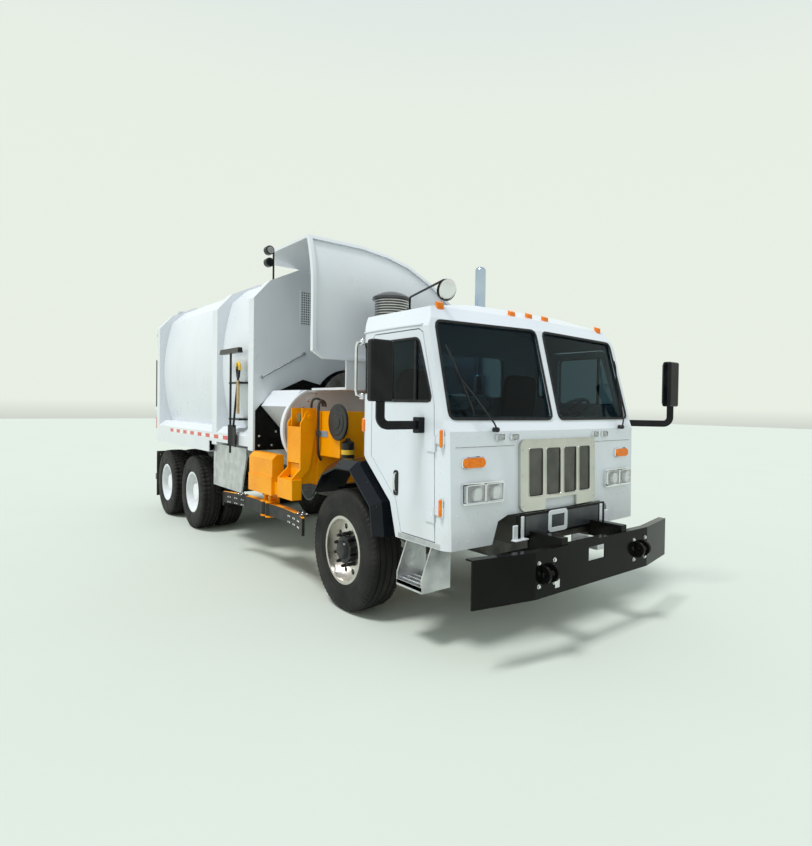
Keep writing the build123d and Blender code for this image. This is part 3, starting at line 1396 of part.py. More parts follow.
with BuildPart() as hopper_trough:
    with BuildSketch(Plane.YZ.offset(behind(bulkhead_behind - trough_rear_gap))):
        with BuildLine():
            Polyline(*spread(trough_shares, 0, trough_low, body_half, trough_high - trough_low), close=True)
        make_face()
    extrude(amount=bulkhead_behind - trough_rear_gap - trough_front_behind)
    with BuildSketch(Plane.YZ.offset(behind(bulkhead_behind + overrun))):
        with BuildLine():
            Polyline(*spread(trough_inner_shares, 0, trough_low, body_half, trough_high - trough_low),
                     close=True)
        make_face()
    extrude(amount=bulkhead_behind + overrun - trough_front_behind - trough_sheet, mode=Mode.SUBTRACT)
    with BuildSketch(Plane.YZ.offset(behind(trough_front_behind))):
        with Locations((0, packer_z)):
            Circle(2 * packer_journal_radius)
            Circle(packer_journal_radius + pin_clearance, mode=Mode.SUBTRACT)
    extrude(amount=trough_sheet)
    with BuildSketch(Plane.YZ.offset(behind(trough_front_behind + overrun))):
        with Locations((0, packer_z)):
            Circle(packer_journal_radius + pin_clearance)
    extrude(amount=2 * overrun, mode=Mode.SUBTRACT)
    # front plate: an arc out past the tub, with a rim that stands forward
    for inset, depth, mode in ((0, ring_stand, Mode.ADD), (ring_width, ring_stand, Mode.SUBTRACT)):
        with BuildSketch(Plane.YZ.offset(behind(trough_front_behind - (inset and trough_sheet)))):
            add(ring_section(inset))
        extrude(amount=depth + (inset and overrun), mode=mode)
    with BuildSketch(Plane.YZ.offset(behind(trough_front_behind + sheet))):
        with Locations((0, packer_z)):
            Circle(packer_journal_radius + pin_clearance)
    extrude(amount=2 * overrun, mode=Mode.SUBTRACT)
hopper_trough.part.label = "hopper_trough"
export_step(hopper_trough.part, "parts/hopper_trough.step")

# Screw packer: shaft through the trough into the body, with a helical flight
with BuildPart() as packer_screw:
    with BuildSketch(Plane.YZ.offset(behind(packer_rear_behind))):
        with Locations((0, packer_z)):
            Circle(packer_shaft_radius)
    extrude(amount=packer_rear_behind - packer_front_behind)
    with BuildSketch(Plane.YZ.offset(behind(packer_front_behind))):
        with Locations((0, packer_z)):
            Circle(packer_journal_radius)
    extrude(amount=packer_front_behind - packer_journal_end_behind)
    flight_width = packer_radius - packer_shaft_radius + packer_blade
    flight_length = packer_rear_behind - packer_front_behind - packer_blade
    flight_middle = packer_radius - flight_width / 2
    flight_start = Vector(behind(packer_rear_behind) + packer_blade / 2, 0, packer_z)
    with BuildLine():
        flight_path = Helix(flight_length / packer_turns, flight_length, flight_middle,
                            center=flight_start, direction=(1, 0, 0))
    with BuildSketch(Plane(origin=flight_path @ 0, x_dir=flight_start - flight_path @ 0,
                           z_dir=flight_path % 0)):
        Rectangle(flight_width, packer_blade)
    sweep(path=flight_path, is_frenet=True)
packer_screw.part.label = "packer_screw"
export_step(packer_screw.part, "parts/packer_screw.step")

# Hopper hood: roof that arches down to the left, front panel, sloped apron to the trough
hood_front_behind = 600
hood_sheet = 24
hood_top = 3466
hood_low = 2270
hood_shares = [(-1.016, 0.998), (-0.533, 0.996), (-0.279, 0.960), (-0.074, 0.898), (0.180, 0.753),
               (0.46, 0.53),
               (0.70, 0.27), (0.84, 0.0), (0.89, -0.20)]
hood_points = spread(hood_shares, 0, hood_low, body_half, hood_top - hood_low)
hood_corner_share = -0.914
hood_lean = 110
hood_bend_share = 0.55
hood_flange = 34
hood_flange_stand = 26
hood_roof_behind = 1450
hood_rear_y = -975
chute_right_y = -860
chute_left_y = 1020


def hood_outline(inset):
    """Outline of the hood's front panel, seen from the front."""
    with BuildSketch() as section:
        with BuildLine():
            Polyline(*hood_points[:-1], (hood_corner_share * body_half, hood_low),
                     (hood_points[0][0], hood_low + 3 * hood_sheet), close=True)
        make_face()
        if inset:
            offset(amount=-inset, kind=Kind.INTERSECTION)
    return section.sketch_local


def hood_front(depth):
    """Sheet across the truck that stands upright below and leans back in an arc above."""
    foot = (behind(hood_front_behind), hood_low)
    bend = (behind(hood_front_behind), hood_low + hood_bend_share * (hood_top - hood_low))
    head = (behind(hood_front_behind + hood_lean), hood_top)
    with BuildPart() as panel:
        with BuildSketch(Plane.XZ.offset(-body_width)):
            with BuildLine():
                Line(foot, bend)
                TangentArc(bend, head, tangent=(0, 1))
                Line(head, (head[0] + depth, head[1]))
                TangentArc((bend[0] + depth, bend[1]), (head[0] + depth, head[1]), tangent=(0, 1))
                Line((bend[0] + depth, bend[1]), (foot[0] + depth, foot[1]))
                Line((foot[0] + depth, foot[1]), foot)
            make_face()
        extrude(amount=2 * body_width)
    return panel.part


def hood_slab(inset):
    """Front panel's outline as a block along the truck."""
    with BuildPart() as slab:
        with BuildSketch(Plane.YZ.offset(behind(hood_front_behind + 2 * hood_lean))):
            add(hood_outline(inset))
        extrude(amount=4 * hood_lean)
    return slab.part


with BuildPart() as hood_panel:
    add(hood_slab(0))
    add(hood_front(hood_sheet), mode=Mode.INTERSECT)

with BuildPart() as hood_rim:
    add(hood_slab(0))
    add(hood_slab(hood_flange), mode=Mode.SUBTRACT)
    add(hood_front(hood_sheet + hood_flange_stand), mode=Mode.INTERSECT)

with BuildPart() as hood_keep:
    with BuildSketch(Plane.XZ.offset(-body_width)):
        with BuildLine():
            foot = (behind(hood_front_behind) + hood_sheet / 2, hood_low - body_height)
            bend = (behind(hood_front_behind) + hood_sheet / 2,
                    hood_low + hood_bend_share * (hood_top - hood_low))
            head = (behind(hood_front_behind + hood_lean) + hood_sheet / 2, hood_top)
            Line(foot, bend)
            TangentArc(bend, head, tangent=(0, 1))
            Polyline(head, (behind(bulkhead_behind), hood_top), (behind(bulkhead_behind), foot[1]), foot)
        make_face()
    extrude(amount=2 * body_width)

with BuildPart() as hopper_hood:
    with BuildSketch(Plane.YZ.offset(behind(bulkhead_behind - trough_rear_gap))):
        with BuildLine():
            Polyline(*hood_points)
            offset(amount=hood_sheet, side=Side.RIGHT, kind=Kind.INTERSECTION)
        make_face()
    extrude(amount=bulkhead_behind - trough_rear_gap - hood_front_behind + hood_sheet / 2)
    add(hood_keep.part, mode=Mode.INTERSECT)
    # the roof's right rear corner is cut off aslant
    with BuildSketch(Plane.XY.offset(hood_low)):
        with BuildLine():
            Polyline(
                (behind(hood_roof_behind), hood_points[0][0] - overrun),
                (behind(hood_roof_behind), hood_points[0][0]),
                (behind(bulkhead_behind), hood_rear_y),
                (behind(bulkhead_behind), hood_points[0][0] - overrun),
                close=True,
            )
        make_face()
    extrude(amount=hood_top - hood_low + overrun, mode=Mode.SUBTRACT)
    add(hood_panel.part)
    add(hood_rim.part)
    # chute below the panel, back to the trough's front plate
    with BuildSketch(Plane.XZ.offset(-chute_left_y)):
        with BuildLine():
            Polyline(
                (behind(hood_front_behind) + hood_sheet, hood_low + 2 * hood_sheet),
                (behind(hood_front_behind) + hood_sheet, trough_high + seat_gap),
                (behind(trough_front_behind + trough_sheet), trough_high + seat_gap),
                (behind(trough_front_behind + trough_sheet), trough_high + seat_gap + hood_sheet),
                (behind(hood_front_behind), trough_high + seat_gap + hood_sheet),
                (behind(hood_front_behind), hood_low + 2 * hood_sheet),
                close=True,
            )
        make_face()
    extrude(amount=chute_left_y - chute_right_y)
hopper_hood.part.label = "hopper_hood"
export_step(hopper_hood.part, "parts/hopper_hood.step")

# Rear fenders: sheet over the twin wheels with a skirt down from the body's ledge
rear_fender_z = 1170
rear_fender_inner_y = 760
arch_gap = 292
rear_fender_rear_behind = body_rear_behind - sheet
rear_fender_front_behind = first_rear_axle - rear_tyre_radius - arch_gap
with BuildPart() as rear_fenders:
    for side in (-1, 1):
        with BuildSketch(Plane.YZ.offset(behind(rear_fender_rear_behind))):
            with BuildLine():
                Polyline(
                    (side * rear_fender_inner_y, rear_fender_z),
                    (side * body_half, rear_fender_z),
                    (side * body_half, ledge_bottom - seat_gap),
                    (side * (body_half - sheet), ledge_bottom - seat_gap),
                    (side * (body_half - sheet), rear_fender_z + sheet),
                    (side * rear_fender_inner_y, rear_fender_z + sheet),
                    close=True,
                )
            make_face()
        extrude(amount=rear_fender_rear_behind - rear_fender_front_behind)
    add(body_shell.part, mode=Mode.SUBTRACT)
rear_fenders.part.label = "rear_fenders"
export_step(rear_fenders.part, "parts/rear_fenders.step")

flap_inner_y = 640
flap_outer_y = 1200
flap_low = 240
flap_top = 990
flap_bar = 50
flap_bar_inner_y = spring_y + spring_width / 2 + seat_gap
flap_setback = 90
flap_rear_behind = body_rear_behind + flap_setback
flap_thickness = 12
with BuildPart() as mud_flaps:
    for side in (-1, 1):
        with BuildSketch(Plane.YZ.offset(behind(flap_rear_behind))):
            with Locations((side * (flap_inner_y + flap_outer_y) / 2, (flap_low + flap_top) / 2)):
                Rectangle(flap_outer_y - flap_inner_y, flap_top - flap_low)
        extrude(amount=flap_thickness)
        with BuildSketch(Plane.YZ.offset(behind(flap_rear_behind) + flap_thickness)):
            with Locations((side * (flap_bar_inner_y + flap_outer_y) / 2, flap_top - flap_bar / 2)):
                Rectangle(flap_outer_y - flap_bar_inner_y, flap_bar)
        extrude(amount=flap_bar / 2)
mud_flaps.part.label = "mud_flaps"
export_step(mud_flaps.part, "parts/mud_flaps.step")

# Side plates ahead of the rear wheels, under the body's ledge
side_box_rear_behind = rear_fender_front_behind - 2 * sheet
side_box_share = 0.233
side_box_front_behind = bulkhead_behind + side_box_share * (side_box_rear_behind - bulkhead_behind)
side_box_bottom = 1180
side_plate_bottom = 730
side_plate_share = 0.139
side_box_length = side_box_rear_behind - side_box_front_behind
side_plate_front_behind = side_box_front_behind + side_plate_share * side_box_length
with BuildPart() as side_plates:
    for side in (-1, 1):
        with BuildSketch(Plane.XZ.offset(-side * (body_half - 8 * sheet))):
            with BuildLine():
                Polyline(
                    (behind(side_box_rear_behind), post_low_z - seat_gap),
                    (behind(side_box_front_behind), post_low_z - seat_gap),
                    (behind(side_box_front_behind), side_box_bottom),
                    (behind(side_plate_front_behind), side_plate_bottom),
                    (behind(side_box_rear_behind), side_plate_bottom),
                    close=True,
                )
            make_face()
        extrude(amount=-side * 2 * sheet)
side_plates.part.label = "side_plates"
export_step(side_plates.part, "parts/side_plates.step")

# Rear underrun bar on two hangers from the rails
bar_height = 100
bar_z = 520
bar_inset = 60
bar_x = tail_x + bar_inset
bar_half = 1120
with BuildPart() as rear_bumper:
    with BuildSketch(Plane.YZ.offset(bar_x)):
        with Locations((0, bar_z)):
            Rectangle(2 * bar_half, bar_height)
    extrude(amount=bar_height)
    for side in (-1, 1):
        with BuildSketch(Plane.XZ.offset(-side * spring_y - spring_width / 2)):
            with BuildLine():
                Polyline(
                    (bar_x, bar_z - bar_height / 2),
                    (bar_x + bar_height, bar_z - bar_height / 2),
                    (frame_rear_x - seat_gap, frame_top - rail_height),
                    (frame_rear_x - seat_gap, frame_top),
                    (frame_rear_x - seat_gap - bar_height, frame_top),
                    (bar_x, bar_z + bar_height),
                    close=True,
                )
            make_face()
        extrude(amount=spring_width)
rear_bumper.part.label = "rear_bumper"
export_step(rear_bumper.part, "parts/rear_bumper.step")

# Tail lamps on the rear posts
tail_lamp_z = 1290
tail_lamp_height = 180
tail_lamp_depth = 60
tail_lamp_width = 90
with BuildPart() as tail_lamps:
    for side in (-1, 1):
        with BuildSketch(Plane.YZ.offset(behind(body_rear_behind) - seat_gap)):
            with Locations((side * (body_half - tail_lamp_width / 2), tail_lamp_z + tail_lamp_height)):
                Rectangle(tail_lamp_width, tail_lamp_height)
        extrude(amount=-tail_lamp_depth)
tail_lamps.part.label = "tail_lamps"
export_step(tail_lamps.part, "parts/tail_lamps.step")

# Fuel tank on the left rail
tank_radius = 310
tank_y = 800
tank_z = 680
tank_rear_behind = 2300
tank_front_behind = 1000
with BuildPart() as fuel_tank:
    with BuildSketch(Plane.YZ.offset(behind(tank_rear_behind))):
        with Locations((tank_y, tank_z)):
            Circle(tank_radius)
    extrude(amount=tank_rear_behind - tank_front_behind)
    fillet(fuel_tank.edges().filter_by(GeomType.CIRCLE), radius=wall)
    for strap_behind in (tank_rear_behind - 4 * wall, tank_front_behind + 4 * wall):
        with BuildSketch(Plane.YZ.offset(behind(strap_behind) - wall / 2)):
            with Locations(((frame_outer + seat_gap + tank_y) / 2, rail_middle_z)):
                Rectangle(tank_y - frame_outer - seat_gap, rail_height)
        extrude(amount=wall)
fuel_tank.part.label = "fuel_tank"
export_step(fuel_tank.part, "parts/fuel_tank.step")

# Cart lifter base: hollow beam across the frame, and the orange housing beside the mast
guide_behind = 1050
guide_width = 300
guide_height = 240
guide_wall = 20
guide_right_y = -1000
guide_left_y = 950
slide_gap = 3
lifter_box_behind = 720
lifter_box_length = 520
lifter_box_right_y = -990
lifter_box_width = 420
lifter_box_low = 1310
lifter_box_top = 1760
with BuildPart() as lifter_base:
    with BuildSketch(Plane.XZ.offset(-guide_left_y)):
        with Locations((behind(guide_behind), frame_top + seat_gap + guide_height / 2)):
            Rectangle(guide_width, guide_height)
            Rectangle(guide_width - 2 * guide_wall, guide_height - 2 * guide_wall, mode=Mode.SUBTRACT)
    extrude(amount=guide_left_y - guide_right_y)
    with BuildSketch(Plane.XY.offset(lifter_box_low)):
        with Locations((behind(lifter_box_behind), lifter_box_right_y + lifter_box_width / 2)):
            Rectangle(lifter_box_length, lifter_box_width)
    extrude(amount=lifter_box_top - lifter_box_low)
    pedestal_length = guide_width / 2 + lifter_box_behind + lifter_box_length / 2 - guide_behind
    with BuildSketch(Plane.XY.offset(frame_top + seat_gap + guide_height - guide_wall)):
        with Locations((behind(guide_behind - guide_width / 2) - pedestal_length / 2,
                        lifter_box_right_y + lifter_box_width / 2)):
            Rectangle(pedestal_length, lifter_box_width)
    extrude(amount=lifter_box_low - frame_top - seat_gap - guide_height + guide_wall)
lifter_base.part.label = "lifter_base"
export_step(lifter_base.part, "parts/lifter_base.step")

# Reach carriage: inner beam that slides out, with the mast on its outer end
mast_inner_y = guide_right_y - running_gap
mast_outer_y = -1160
mast_plate = 20
mast_half = 130
mast_top = 1790
lift_pivot_y = -1085
lift_pivot_z = 1700
lift_pin_radius = 26
boom_left_y = 600
boom_half_width = guide_width / 2 - guide_wall - slide_gap
boom_low = frame_top + seat_gap + guide_wall + seat_gap
boom_high = frame_top + seat_gap + guide_height - guide_wall - slide_gap
with BuildPart() as reach_carriage:
    with BuildSketch(Plane.XZ.offset(-boom_left_y)):
        with Locations((behind(guide_behind), (boom_low + boom_high) / 2)):
            Rectangle(2 * boom_half_width, boom_high - boom_low)
    extrude(amount=boom_left_y - mast_outer_y)
    for side in (-1, 1):
        plate_x = behind(guide_behind) + side * (mast_half - mast_plate / 2) - mast_plate / 2
        with BuildSketch(Plane.YZ.offset(plate_x)):
            with Locations(((mast_inner_y + mast_outer_y) / 2, (boom_low + mast_top) / 2)):
                Rectangle(mast_inner_y - mast_outer_y, mast_top - boom_low)
        extrude(amount=mast_plate)
    with BuildSketch(Plane.YZ.offset(behind(guide_behind) - mast_half - 2 * mast_plate)):
        with Locations((lift_pivot_y, lift_pivot_z)):
            Circle(lift_pin_radius)
    extrude(amount=2 * mast_half + 4 * mast_plate)
reach_carriage.part.label = "reach_carriage"
export_step(reach_carriage.part, "parts/reach_carriage.step")

# Lift arm: two bent plates outside the mast, joined low down by a cross box
arm_gap = 5
arm_eye_radius = 62
arm_width = 110
arm_box_outer_y = -1290
arm_box_inner_y = -1190
arm_box_low = 870
arm_box_high = 1070
arm_box_front_behind = 860
arm_knee_z = 1170
arm_web_y = -1176
arm_web_plate = 12
arm_web_low = 1230
arm_web_high = 1600
with BuildPart() as lift_arm:
    for side in (-1, 1):
        with BuildSketch(Plane.YZ.offset(behind(guide_behind) + side * (mast_half + arm_gap + mast_plate / 2)
                                         - mast_plate / 2)):
            with BuildLine():
                Polyline(
                    (lift_pivot_y - arm_eye_radius, lift_pivot_z),
                    (arm_web_y - arm_web_plate, lift_pivot_z - arm_eye_radius),
                    (arm_web_y - arm_web_plate, arm_knee_z),
                    (arm_box_outer_y, arm_box_high),
                    (arm_box_outer_y, arm_box_low),
                    (arm_box_inner_y, arm_box_low),
                    (arm_box_inner_y, arm_box_high - arm_gap),
                    (lift_pivot_y, arm_knee_z),
                    (lift_pivot_y + arm_eye_radius, lift_pivot_z - arm_width),
                    (lift_pivot_y + arm_eye_radius, lift_pivot_z),
                    close=True,
                )
            make_face()
            with Locations((lift_pivot_y, lift_pivot_z)):
                Circle(arm_eye_radius)
                Circle(lift_pin_radius + pin_clearance, mode=Mode.SUBTRACT)
        extrude(amount=mast_plate)
    with BuildSketch(Plane.XY.offset(arm_web_low)):
        with Locations((behind(guide_behind), arm_web_y - arm_web_plate / 2)):
            Rectangle(2 * (mast_half + arm_gap + mast_plate), arm_web_plate)
    extrude(amount=arm_web_high - arm_web_low)
    with BuildSketch(Plane.YZ.offset(behind(guide_behind) - mast_half - arm_gap - mast_plate)):
        with Locations(((arm_box_outer_y + arm_box_inner_y) / 2, (arm_box_low + arm_box_high) / 2)):
            Rectangle(arm_box_inner_y - arm_box_outer_y, arm_box_high - arm_box_low)
    extrude(amount=guide_behind - arm_box_front_behind + mast_half + arm_gap + mast_plate)
lift_arm.part.label = "lift_arm"
export_step(lift_arm.part, "parts/lift_arm.step")

# Gripper frame: beam behind the cover, with the stack of lugs that holds the finger pins
hub_behind = 1620
pin_spacing = 124
finger_pin_radius = 20
finger_pin_y = -1215
finger_boss_radius = 52
finger_low = 620
finger_high = 750
lug_thickness = 18
lug_gap = 5
beam_low = 870
beam_high = 1000
beam_outer_y = -1250
beam_inner_y = -1150
beam_rear_behind = 1990
beam_front_behind = guide_behind + mast_half + arm_gap + mast_plate + seat_gap
with BuildPart() as gripper_frame:
    with BuildSketch(Plane.YZ.offset(behind(beam_rear_behind))):
        with Locations(((beam_outer_y + beam_inner_y) / 2, (beam_low + beam_high) / 2)):
            Rectangle(beam_inner_y - beam_outer_y, beam_high - beam_low)
    extrude(amount=beam_rear_behind - beam_front_behind)
    for lug_z in (finger_low - lug_gap - lug_thickness, finger_high + lug_gap):
        with BuildSketch(Plane.XY.offset(lug_z)):
            with Locations((behind(hub_behind), (finger_pin_y + beam_inner_y + lug_thickness) / 2)):
                Rectangle(pin_spacing + 2 * finger_boss_radius, beam_inner_y + lug_thickness - finger_pin_y)
            for side in (-1, 1):
                with Locations((behind(hub_behind) + side * pin_spacing / 2, finger_pin_y)):
                    Circle(finger_boss_radius)
        extrude(amount=lug_thickness)
    for side in (-1, 1):
        with BuildSketch(Plane.XY.offset(finger_low - lug_gap - lug_thickness)):
            with Locations((behind(hub_behind) + side * pin_spacing / 2, finger_pin_y)):
                Circle(finger_pin_radius)
        extrude(amount=beam_low - finger_low + lug_gap + 2 * lug_thickness)
    with BuildSketch(Plane.XY.offset(finger_low - lug_gap - lug_thickness)):
        with Locations((behind(hub_behind), beam_inner_y + lug_thickness / 2)):
            Rectangle(pin_spacing + 2 * finger_boss_radius, lug_thickness)
    extrude(amount=beam_low - finger_low + lug_gap + 2 * lug_thickness)

# Gripper cover on the frame: folded sheet outside the beam, stepped at half height
cover_rear_behind = 2000
cover_front = 1370
cover_low = 855
cover_step = 1050
cover_high = 1285
cover_sheet = 8
cover_outer_y = -1285
with BuildPart() as gripper_assembly:
    add(gripper_frame.part)
    with BuildSketch(Plane.YZ.offset(behind(cover_rear_behind))):
        with BuildLine():
            Polyline(
                (cover_outer_y, cover_low),
                (cover_outer_y, cover_step),
                (cover_outer_y + cover_sheet, cover_step),
                (cover_outer_y + cover_sheet, cover_high - wall),
                (cover_outer_y + cover_sheet + wall, cover_high),
                (beam_inner_y, cover_high),
                (beam_inner_y, beam_high),
                (beam_outer_y, beam_high),
                (beam_outer_y, cover_low),
                close=True,
            )
        make_face()
    extrude(amount=cover_rear_behind - cover_front)
gripper_assembly.part.label = "gripper_frame"
export_step(gripper_assembly.part, "parts/gripper_frame.step")

# Fingers: curved arms that close on a cart, each on its own upright pin
finger_reach = 1010
finger_tip_y = -1318
finger_mid_y = -1180
finger_tip_thickness = 26
finger_root_thickness = 70
finger_flange = 16
finger_web_share = 0.55
pad_drop = 40


def finger_section(pin_x, direction, share):
    """Plan of a finger from its pin to its tip, its thickness cut to the share."""
    root = share * finger_root_thickness
    tip = share * finger_tip_thickness
    start_x = pin_x + direction * finger_pin_radius
    middle_x = pin_x + direction * finger_reach / 2
    end_x = pin_x + direction * finger_reach
    low_tip = finger_tip_y - finger_tip_thickness / 2
    low_root = finger_pin_y - finger_root_thickness / 2
    low_middle = finger_mid_y - finger_root_thickness
    with BuildSketch() as section:
        with BuildLine():
            ThreePointArc((start_x, low_root), (middle_x, low_middle), (end_x, low_tip))
            Line((end_x, low_tip), (end_x, low_tip + tip))
            ThreePointArc((end_x, low_tip + tip), (middle_x, low_middle + root), (start_x, low_root + root))
            Line((start_x, low_root + root), (start_x, low_root))
        make_face()
    return section.sketch_local


for direction, word in ((1, "front"), (-1, "rear")):
    pin_x = behind(hub_behind) + direction * pin_spacing / 2
    with BuildPart() as finger:
        with BuildSketch(Plane.XY.offset(finger_high - finger_flange)):
            add(finger_section(pin_x, direction, 1))
        extrude(amount=finger_flange)
        with BuildSketch(Plane.XY.offset(finger_low)):
            add(finger_section(pin_x, direction, finger_web_share))
        extrude(amount=finger_high - finger_low - finger_flange)
        with BuildSketch(Plane.XY.offset(finger_low)):
            with Locations((pin_x, finger_pin_y)):
                Circle(finger_boss_radius)
        extrude(amount=finger_high - finger_low)
        # hanging plate at the tip
        tip_x = pin_x + direction * (finger_reach - finger_flange / 2) - finger_flange / 2
        with BuildSketch(Plane.YZ.offset(tip_x)):
            with Locations((finger_tip_y, (finger_high + finger_low - pad_drop) / 2)):
                Rectangle(finger_tip_thickness, finger_high - finger_low + pad_drop)
        extrude(amount=finger_flange)
        with BuildSketch(Plane.XY.offset(finger_low - overrun)):
            with Locations((pin_x, finger_pin_y)):
                Circle(finger_pin_radius + pin_clearance)
        extrude(amount=finger_high - finger_low + 2 * overrun, mode=Mode.SUBTRACT)
    finger.part.label = f"finger_{word}"
    export_step(finger.part, f"parts/finger_{word}.step")

# Guard plate on the bulkhead outside the trough
guard_thickness = 8
guard_shares = [(-0.981, 0.0), (-0.981, 0.198), (-0.930, 0.229), (-0.754, 0.300), (-0.506, 0.362),
                (-0.270, 0.333),
                (-0.270, 0.0)]
guard_low = 1287
with BuildPart() as bulkhead_guard:
    with BuildSketch(Plane.YZ.offset(behind(bulkhead_behind) + seat_gap)):
        with BuildLine():
            Polyline(*spread(guard_shares, 0, guard_low, body_half, body_height), close=True)
        make_face()
    extrude(amount=guard_thickness)
    with BuildSketch(Plane.YZ.offset(behind(bulkhead_behind) - overrun)):
        with Locations((0, packer_z)):
            Circle(port_radius)
    extrude(amount=3 * overrun, mode=Mode.SUBTRACT)
bulkhead_guard.part.label = "bulkhead_guard"
export_step(bulkhead_guard.part, "parts/bulkhead_guard.step")

# Push broom and shovel, hung in clips on the body's right side
tool_y = -1246
broom_behind = 2700
broom_head_length = 620
broom_head_low = 2430
broom_head_high = 2490
broom_head_width = 64
broom_handle_low = 1215
handle_radius = 13
shovel_high = 2130
shovel_low = 1300
shovel_top_behind = 2452
shovel_low_behind = 2600
shovel_blade_top = 1560
shovel_blade_width = 230
shovel_blade = 8
shovel_grip_width = 110
shovel_grip_height = 130
clip_places = [(1620, 1015), (2060, 1095)]
clip_height = 24
clip_rear_behind = 2760
clip_front_behind = 2420
with BuildPart() as hand_tools:
    with BuildSketch(Plane.XY.offset(broom_handle_low)):
        with Locations((behind(broom_behind), tool_y)):
            Circle(handle_radius)
    extrude(amount=broom_head_low - broom_handle_low + handle_radius)
    with BuildSketch(Plane.YZ.offset(behind(broom_behind) - broom_head_length / 2)):
        with Locations((tool_y, (broom_head_low + broom_head_high) / 2)):
            Trapezoid(broom_head_width, broom_head_high - broom_head_low, left_side_angle=80)
    extrude(amount=broom_head_length)
    shaft_foot = (behind(shovel_low_behind), tool_y, shovel_blade_top - clip_height)
    shaft_head = (behind(shovel_top_behind), tool_y, shovel_high)
    with BuildLine():
        Polyline(shaft_foot, shaft_head)
    with BuildSketch(Plane(origin=shaft_foot, z_dir=(shaft_head[0] - shaft_foot[0], 0,
                                                     shaft_head[2] - shaft_foot[2]))):
        Circle(handle_radius)
    sweep()
    with BuildSketch(Plane.XZ.offset(-tool_y - handle_radius)):
        with Locations((shaft_head[0], shaft_head[2] + shovel_grip_height / 2)):
            Trapezoid(shovel_grip_width, shovel_grip_height, left_side_angle=105)
            Trapezoid(shovel_grip_width - 2 * clip_height, shovel_grip_height - 2 * clip_height,
                      left_side_angle=105,
                      mode=Mode.SUBTRACT)
    extrude(amount=2 * handle_radius)
    with BuildSketch(Plane.XY.offset(shovel_low)):
        with BuildLine():
            ThreePointArc(
                (behind(shovel_low_behind) - shovel_blade_width / 2, tool_y - clip_height),
                (behind(shovel_low_behind), tool_y + handle_radius),
                (behind(shovel_low_behind) + shovel_blade_width / 2, tool_y - clip_height),
            )
            offset(amount=shovel_blade, side=Side.LEFT)
        make_face()
    extrude(amount=shovel_blade_top - shovel_low)
    for clip_z, clip_root_y in clip_places:
        with BuildSketch(Plane.XY.offset(clip_z)):
            with Locations((behind((clip_rear_behind + clip_front_behind) / 2),
                            (tool_y - clip_root_y) / 2)):
                Rectangle(clip_rear_behind - clip_front_behind, -tool_y - clip_root_y)
        extrude(amount=clip_height)
    with BuildSketch(Plane.YZ.offset(behind(clip_rear_behind + overrun))):
        add(body_section())
        offset(amount=seat_gap)
    extrude(amount=clip_rear_behind - clip_front_behind + 2 * overrun, mode=Mode.SUBTRACT)
hand_tools.part.label = "hand_tools"
export_step(hand_tools.part, "parts/hand_tools.step")

# Work lights: two round lamps on a post from the body's right shoulder
light_behind = 2100
light_y = -1012
light_heights = [3479, 3619]
light_radius = 52
light_depth = 70
light_setback = 10
light_offset_y = 40
light_post_radius = 11
light_post_low = 3200
with BuildPart() as work_lights:
    with BuildSketch(Plane.XY.offset(light_post_low)):
        with Locations((behind(light_behind), light_y + light_offset_y)):
            Circle(light_post_radius)
    extrude(amount=light_heights[-1] - light_post_low)
    for light_z in light_heights:
        with Locations(Location((behind(light_behind + light_setback), light_y - light_post_radius,
                                 light_z),
                                (0, 90, 0))):
            Cylinder(light_radius, light_depth)
    add(body_shell.part, mode=Mode.SUBTRACT)
work_lights.part.label = "work_lights"
export_step(work_lights.part, "parts/work_lights.step")
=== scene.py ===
import math

import bmesh
import bpy
import numpy as np
from mathutils import Matrix, Vector
from mathutils.bvhtree import BVHTree


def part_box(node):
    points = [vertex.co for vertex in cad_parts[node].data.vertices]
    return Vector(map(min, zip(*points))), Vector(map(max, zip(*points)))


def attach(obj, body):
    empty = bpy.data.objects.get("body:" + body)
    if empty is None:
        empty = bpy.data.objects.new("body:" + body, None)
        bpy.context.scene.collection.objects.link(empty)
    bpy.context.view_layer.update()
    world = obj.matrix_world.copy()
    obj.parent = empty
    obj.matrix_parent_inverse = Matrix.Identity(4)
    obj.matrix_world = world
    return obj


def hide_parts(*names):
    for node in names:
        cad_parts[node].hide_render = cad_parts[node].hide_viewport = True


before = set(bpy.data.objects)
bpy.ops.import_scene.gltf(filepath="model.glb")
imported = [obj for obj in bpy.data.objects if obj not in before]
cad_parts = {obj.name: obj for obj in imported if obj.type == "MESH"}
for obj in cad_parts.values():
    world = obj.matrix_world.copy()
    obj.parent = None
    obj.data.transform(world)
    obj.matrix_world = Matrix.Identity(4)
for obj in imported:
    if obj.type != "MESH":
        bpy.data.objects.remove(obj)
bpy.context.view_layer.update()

# The yard: a pale matt floor that runs into an equally pale sky, a soft sun high over the
# truck's right side, and the camera low at its front right corner. X runs forward from the
# middle of the truck's length, and the front axle is 2.41 m ahead of it.
AXLE_X = 2.410


def add_node(tree, kind, **values):
    """A new shader node. Each value goes to the input of that name, or to the property of that name."""
    new = tree.nodes.new(kind)
    for key, value in values.items():
        label = key.replace("_", " ")
        if label in new.inputs:
            new.inputs[label].default_value = value
        else:
            setattr(new, key, value)
    return new


